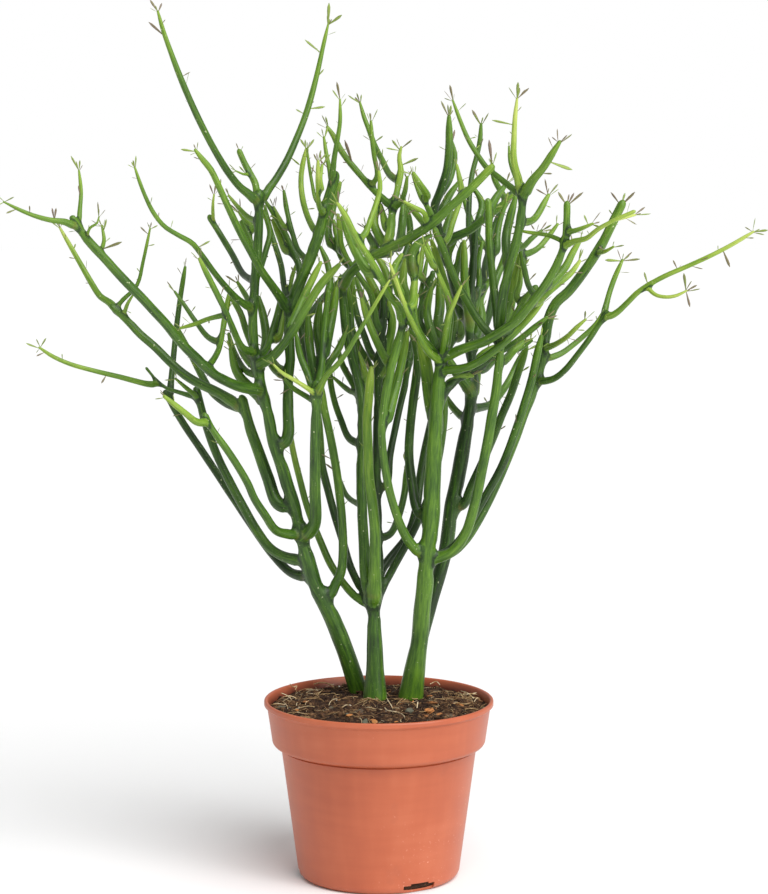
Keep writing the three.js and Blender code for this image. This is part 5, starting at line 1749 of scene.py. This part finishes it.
def on_soil(across, down, lift=0.0):
    """Where the ray through a picture point comes down to the soil, or else to the wall just above it."""
    inside_pot = []
    for step in range(int(2 * SOIL_RADIUS / RAY_STEP)):
        point = from_picture(across, down, step * RAY_STEP - SOIL_RADIUS)
        if math.hypot(point.x, point.y) < SOIL_RADIUS - SCATTER_EDGE:
            over = point.z - soil_height(point.x, point.y) - lift
            inside_pot.append((over, point))
            if over < 0:
                return point
    return min(inside_pot, key=lambda place: place[0])[1]


print("between the stems the soil is", round(on_soil(*BETWEEN_STEMS).z / MM, 1), "mm up")

# %% Chips listed one by one
CHIPS = (
    # across, down, how far up, length, width, height, turn in degrees, tone
    (349.5, 715.5, 0.5, 6.5, 3.2, 2.2, 35, 1.0),
    (347.0, 714.0, 1.2, 3.5, 2.4, 1.6, 80, 0.05),
    (429.0, 711.0, 1.5, 8.5, 5.0, 4.2, 20, 0.92),
    (426.0, 716.0, 0.5, 6.0, 3.0, 2.0, 110, 0.7),
    (409.5, 711.5, 1.5, 9.5, 6.0, 5.5, 60, 0.1),
    (297.0, 710.5, 0.8, 3.2, 2.4, 2.0, 0, 0.95),
    (306.0, 702.0, 1.0, 6.0, 3.4, 2.0, 15, 0.6),
    (455.0, 704.0, 0.8, 7.0, 3.0, 2.2, 150, 0.55),
)


CHIP_LUMP_SEED, CHIP_FINENESS = 7.0, 3
CHIP_SIZES = {"Size Factor": 1.0}


def chip_guide():
    places, sizes, turns, shades = [], [], [], []
    for across, down, lift, length, width, height, turn, shade in CHIPS:
        places.append(on_soil(across, down, lift * MM))
        sizes.append(Vector((length, width, height)) * MM)
        turns.append(Vector((0.0, 0.0, math.radians(turn))))
        shades.append(shade)
    return guide_object("chip_guide", places, size=sizes, turn=turns, shade=shades)


def placed_chips():
    recipe = Recipe("placed_chips")
    sockets = {0: recipe.read("size", "FLOAT_VECTOR"), "Scale": recipe.size("Size Factor")}
    scale = recipe.add("ShaderNodeVectorMath", sockets, operation="SCALE")
    lie = recipe.add("FunctionNodeEulerToRotation", {"Euler": recipe.read("turn", "FLOAT_VECTOR")})
    chip = lump(recipe, CHIP_LUMP_SEED, CHIP_FINENESS)
    placed = recipe.add("GeometryNodeInstanceOnPoints",
                        {"Points": recipe.guide(), "Instance": chip, "Scale": scale, "Rotation": lie})
    toned = recipe.store(placed, "tone", recipe.read("shade"), domain="INSTANCE")
    return recipe.finish(toned, bark_material)


dress(cook("placed_chips", chip_guide(), placed_chips(), CHIP_SIZES), "soil")

# %% Roots and straws listed one by one
STRAWS = (
    # half thickness in mm, tone, then across, down and how far up in mm for each point
    (0.34, 1.0, ((386.5, 698, 1), (389, 702, 2), (391.5, 706, 1), (393, 710, 0))),
    (0.3, 1.0, ((384, 707, 0), (388, 710.5, 1.5), (394, 711.5, 2), (400, 713, 1.5), (404, 716, 1),
                (405, 720, 0))),
    (0.5, 0.6, ((314, 684, 3), (321, 682.5, 4), (328, 683.5, 4), (334, 687, 2))),
    (0.4, 0.9, ((279, 700, 0), (284, 697, 3), (290, 696, 4), (296, 698, 1))),
    (0.4, 0.8, ((290, 684, 2), (293, 687, 5), (297, 686, 4), (295, 690, 1))),
    (0.35, 1.0, ((281, 693, 4), (286, 695, 3), (292, 700, 1))),
    (0.3, 0.9, ((340, 709, 0), (346, 705, 2), (351, 706, 1))),
    (0.45, 1.0, ((417.8, 702, 4), (417.2, 706, 2), (416.8, 710, 0))),
    (0.4, 0.7, ((449, 706, 0), (456, 703, 2), (464, 704, 3), (472, 703, 0))),
    (0.4, 0.9, ((461, 691, 1), (469, 694, 3), (474, 699, 1))),
    (0.35, 0.8, ((474, 702, 1), (477, 698, 3), (480, 699, 2))),
    (0.35, 1.0, ((430, 684, 1), (436, 681.5, 3), (440, 685, 1))),
    (0.3, 0.9, ((363, 693, 0), (367, 697, 2), (372, 699, 1), (378, 699, 1))),
    (0.3, 0.8, ((404, 700, 1), (409, 697, 2), (414, 699, 2), (421, 698, 0))),
)
STRAW_THINNING = 3
STRAW_SIZES = {"Sides": 5}


def straw_guide():
    """Smooth paths over the soil, with every third of their fine points."""
    points, edges, radii, tones = [], [], [], []
    for radius, tone, places in STRAWS:
        line = smooth_line([on_soil(across, down, lift * MM) for across, down, lift in places])
        line = line[::STRAW_THINNING]
        for index, point in enumerate(line):
            if index:
                edges.append((len(points) - 1, len(points)))
            points.append(point)
            radii.append(radius * MM)
            tones.append(tone)
    return guide_object("straw_guide", points, edges, radius=radii, tone=tones)


def placed_straws():
    recipe = Recipe("placed_straws")
    sides = recipe.size("Sides", "Int")
    lines = recipe.add("GeometryNodeMeshToCurve", {"Mesh": recipe.guide()})
    section = recipe.add("GeometryNodeCurvePrimitiveCircle", {"Resolution": sides, "Radius": 1.0})
    tubes = recipe.add("GeometryNodeCurveToMesh", {"Curve": lines, "Profile Curve": section,
                                                   "Scale": recipe.read("radius"), "Fill Caps": True})
    return recipe.finish(keep_in_pot(recipe, tubes), straw_material)


dress(cook("placed_straws", straw_guide(), placed_straws(), STRAW_SIZES), "soil")
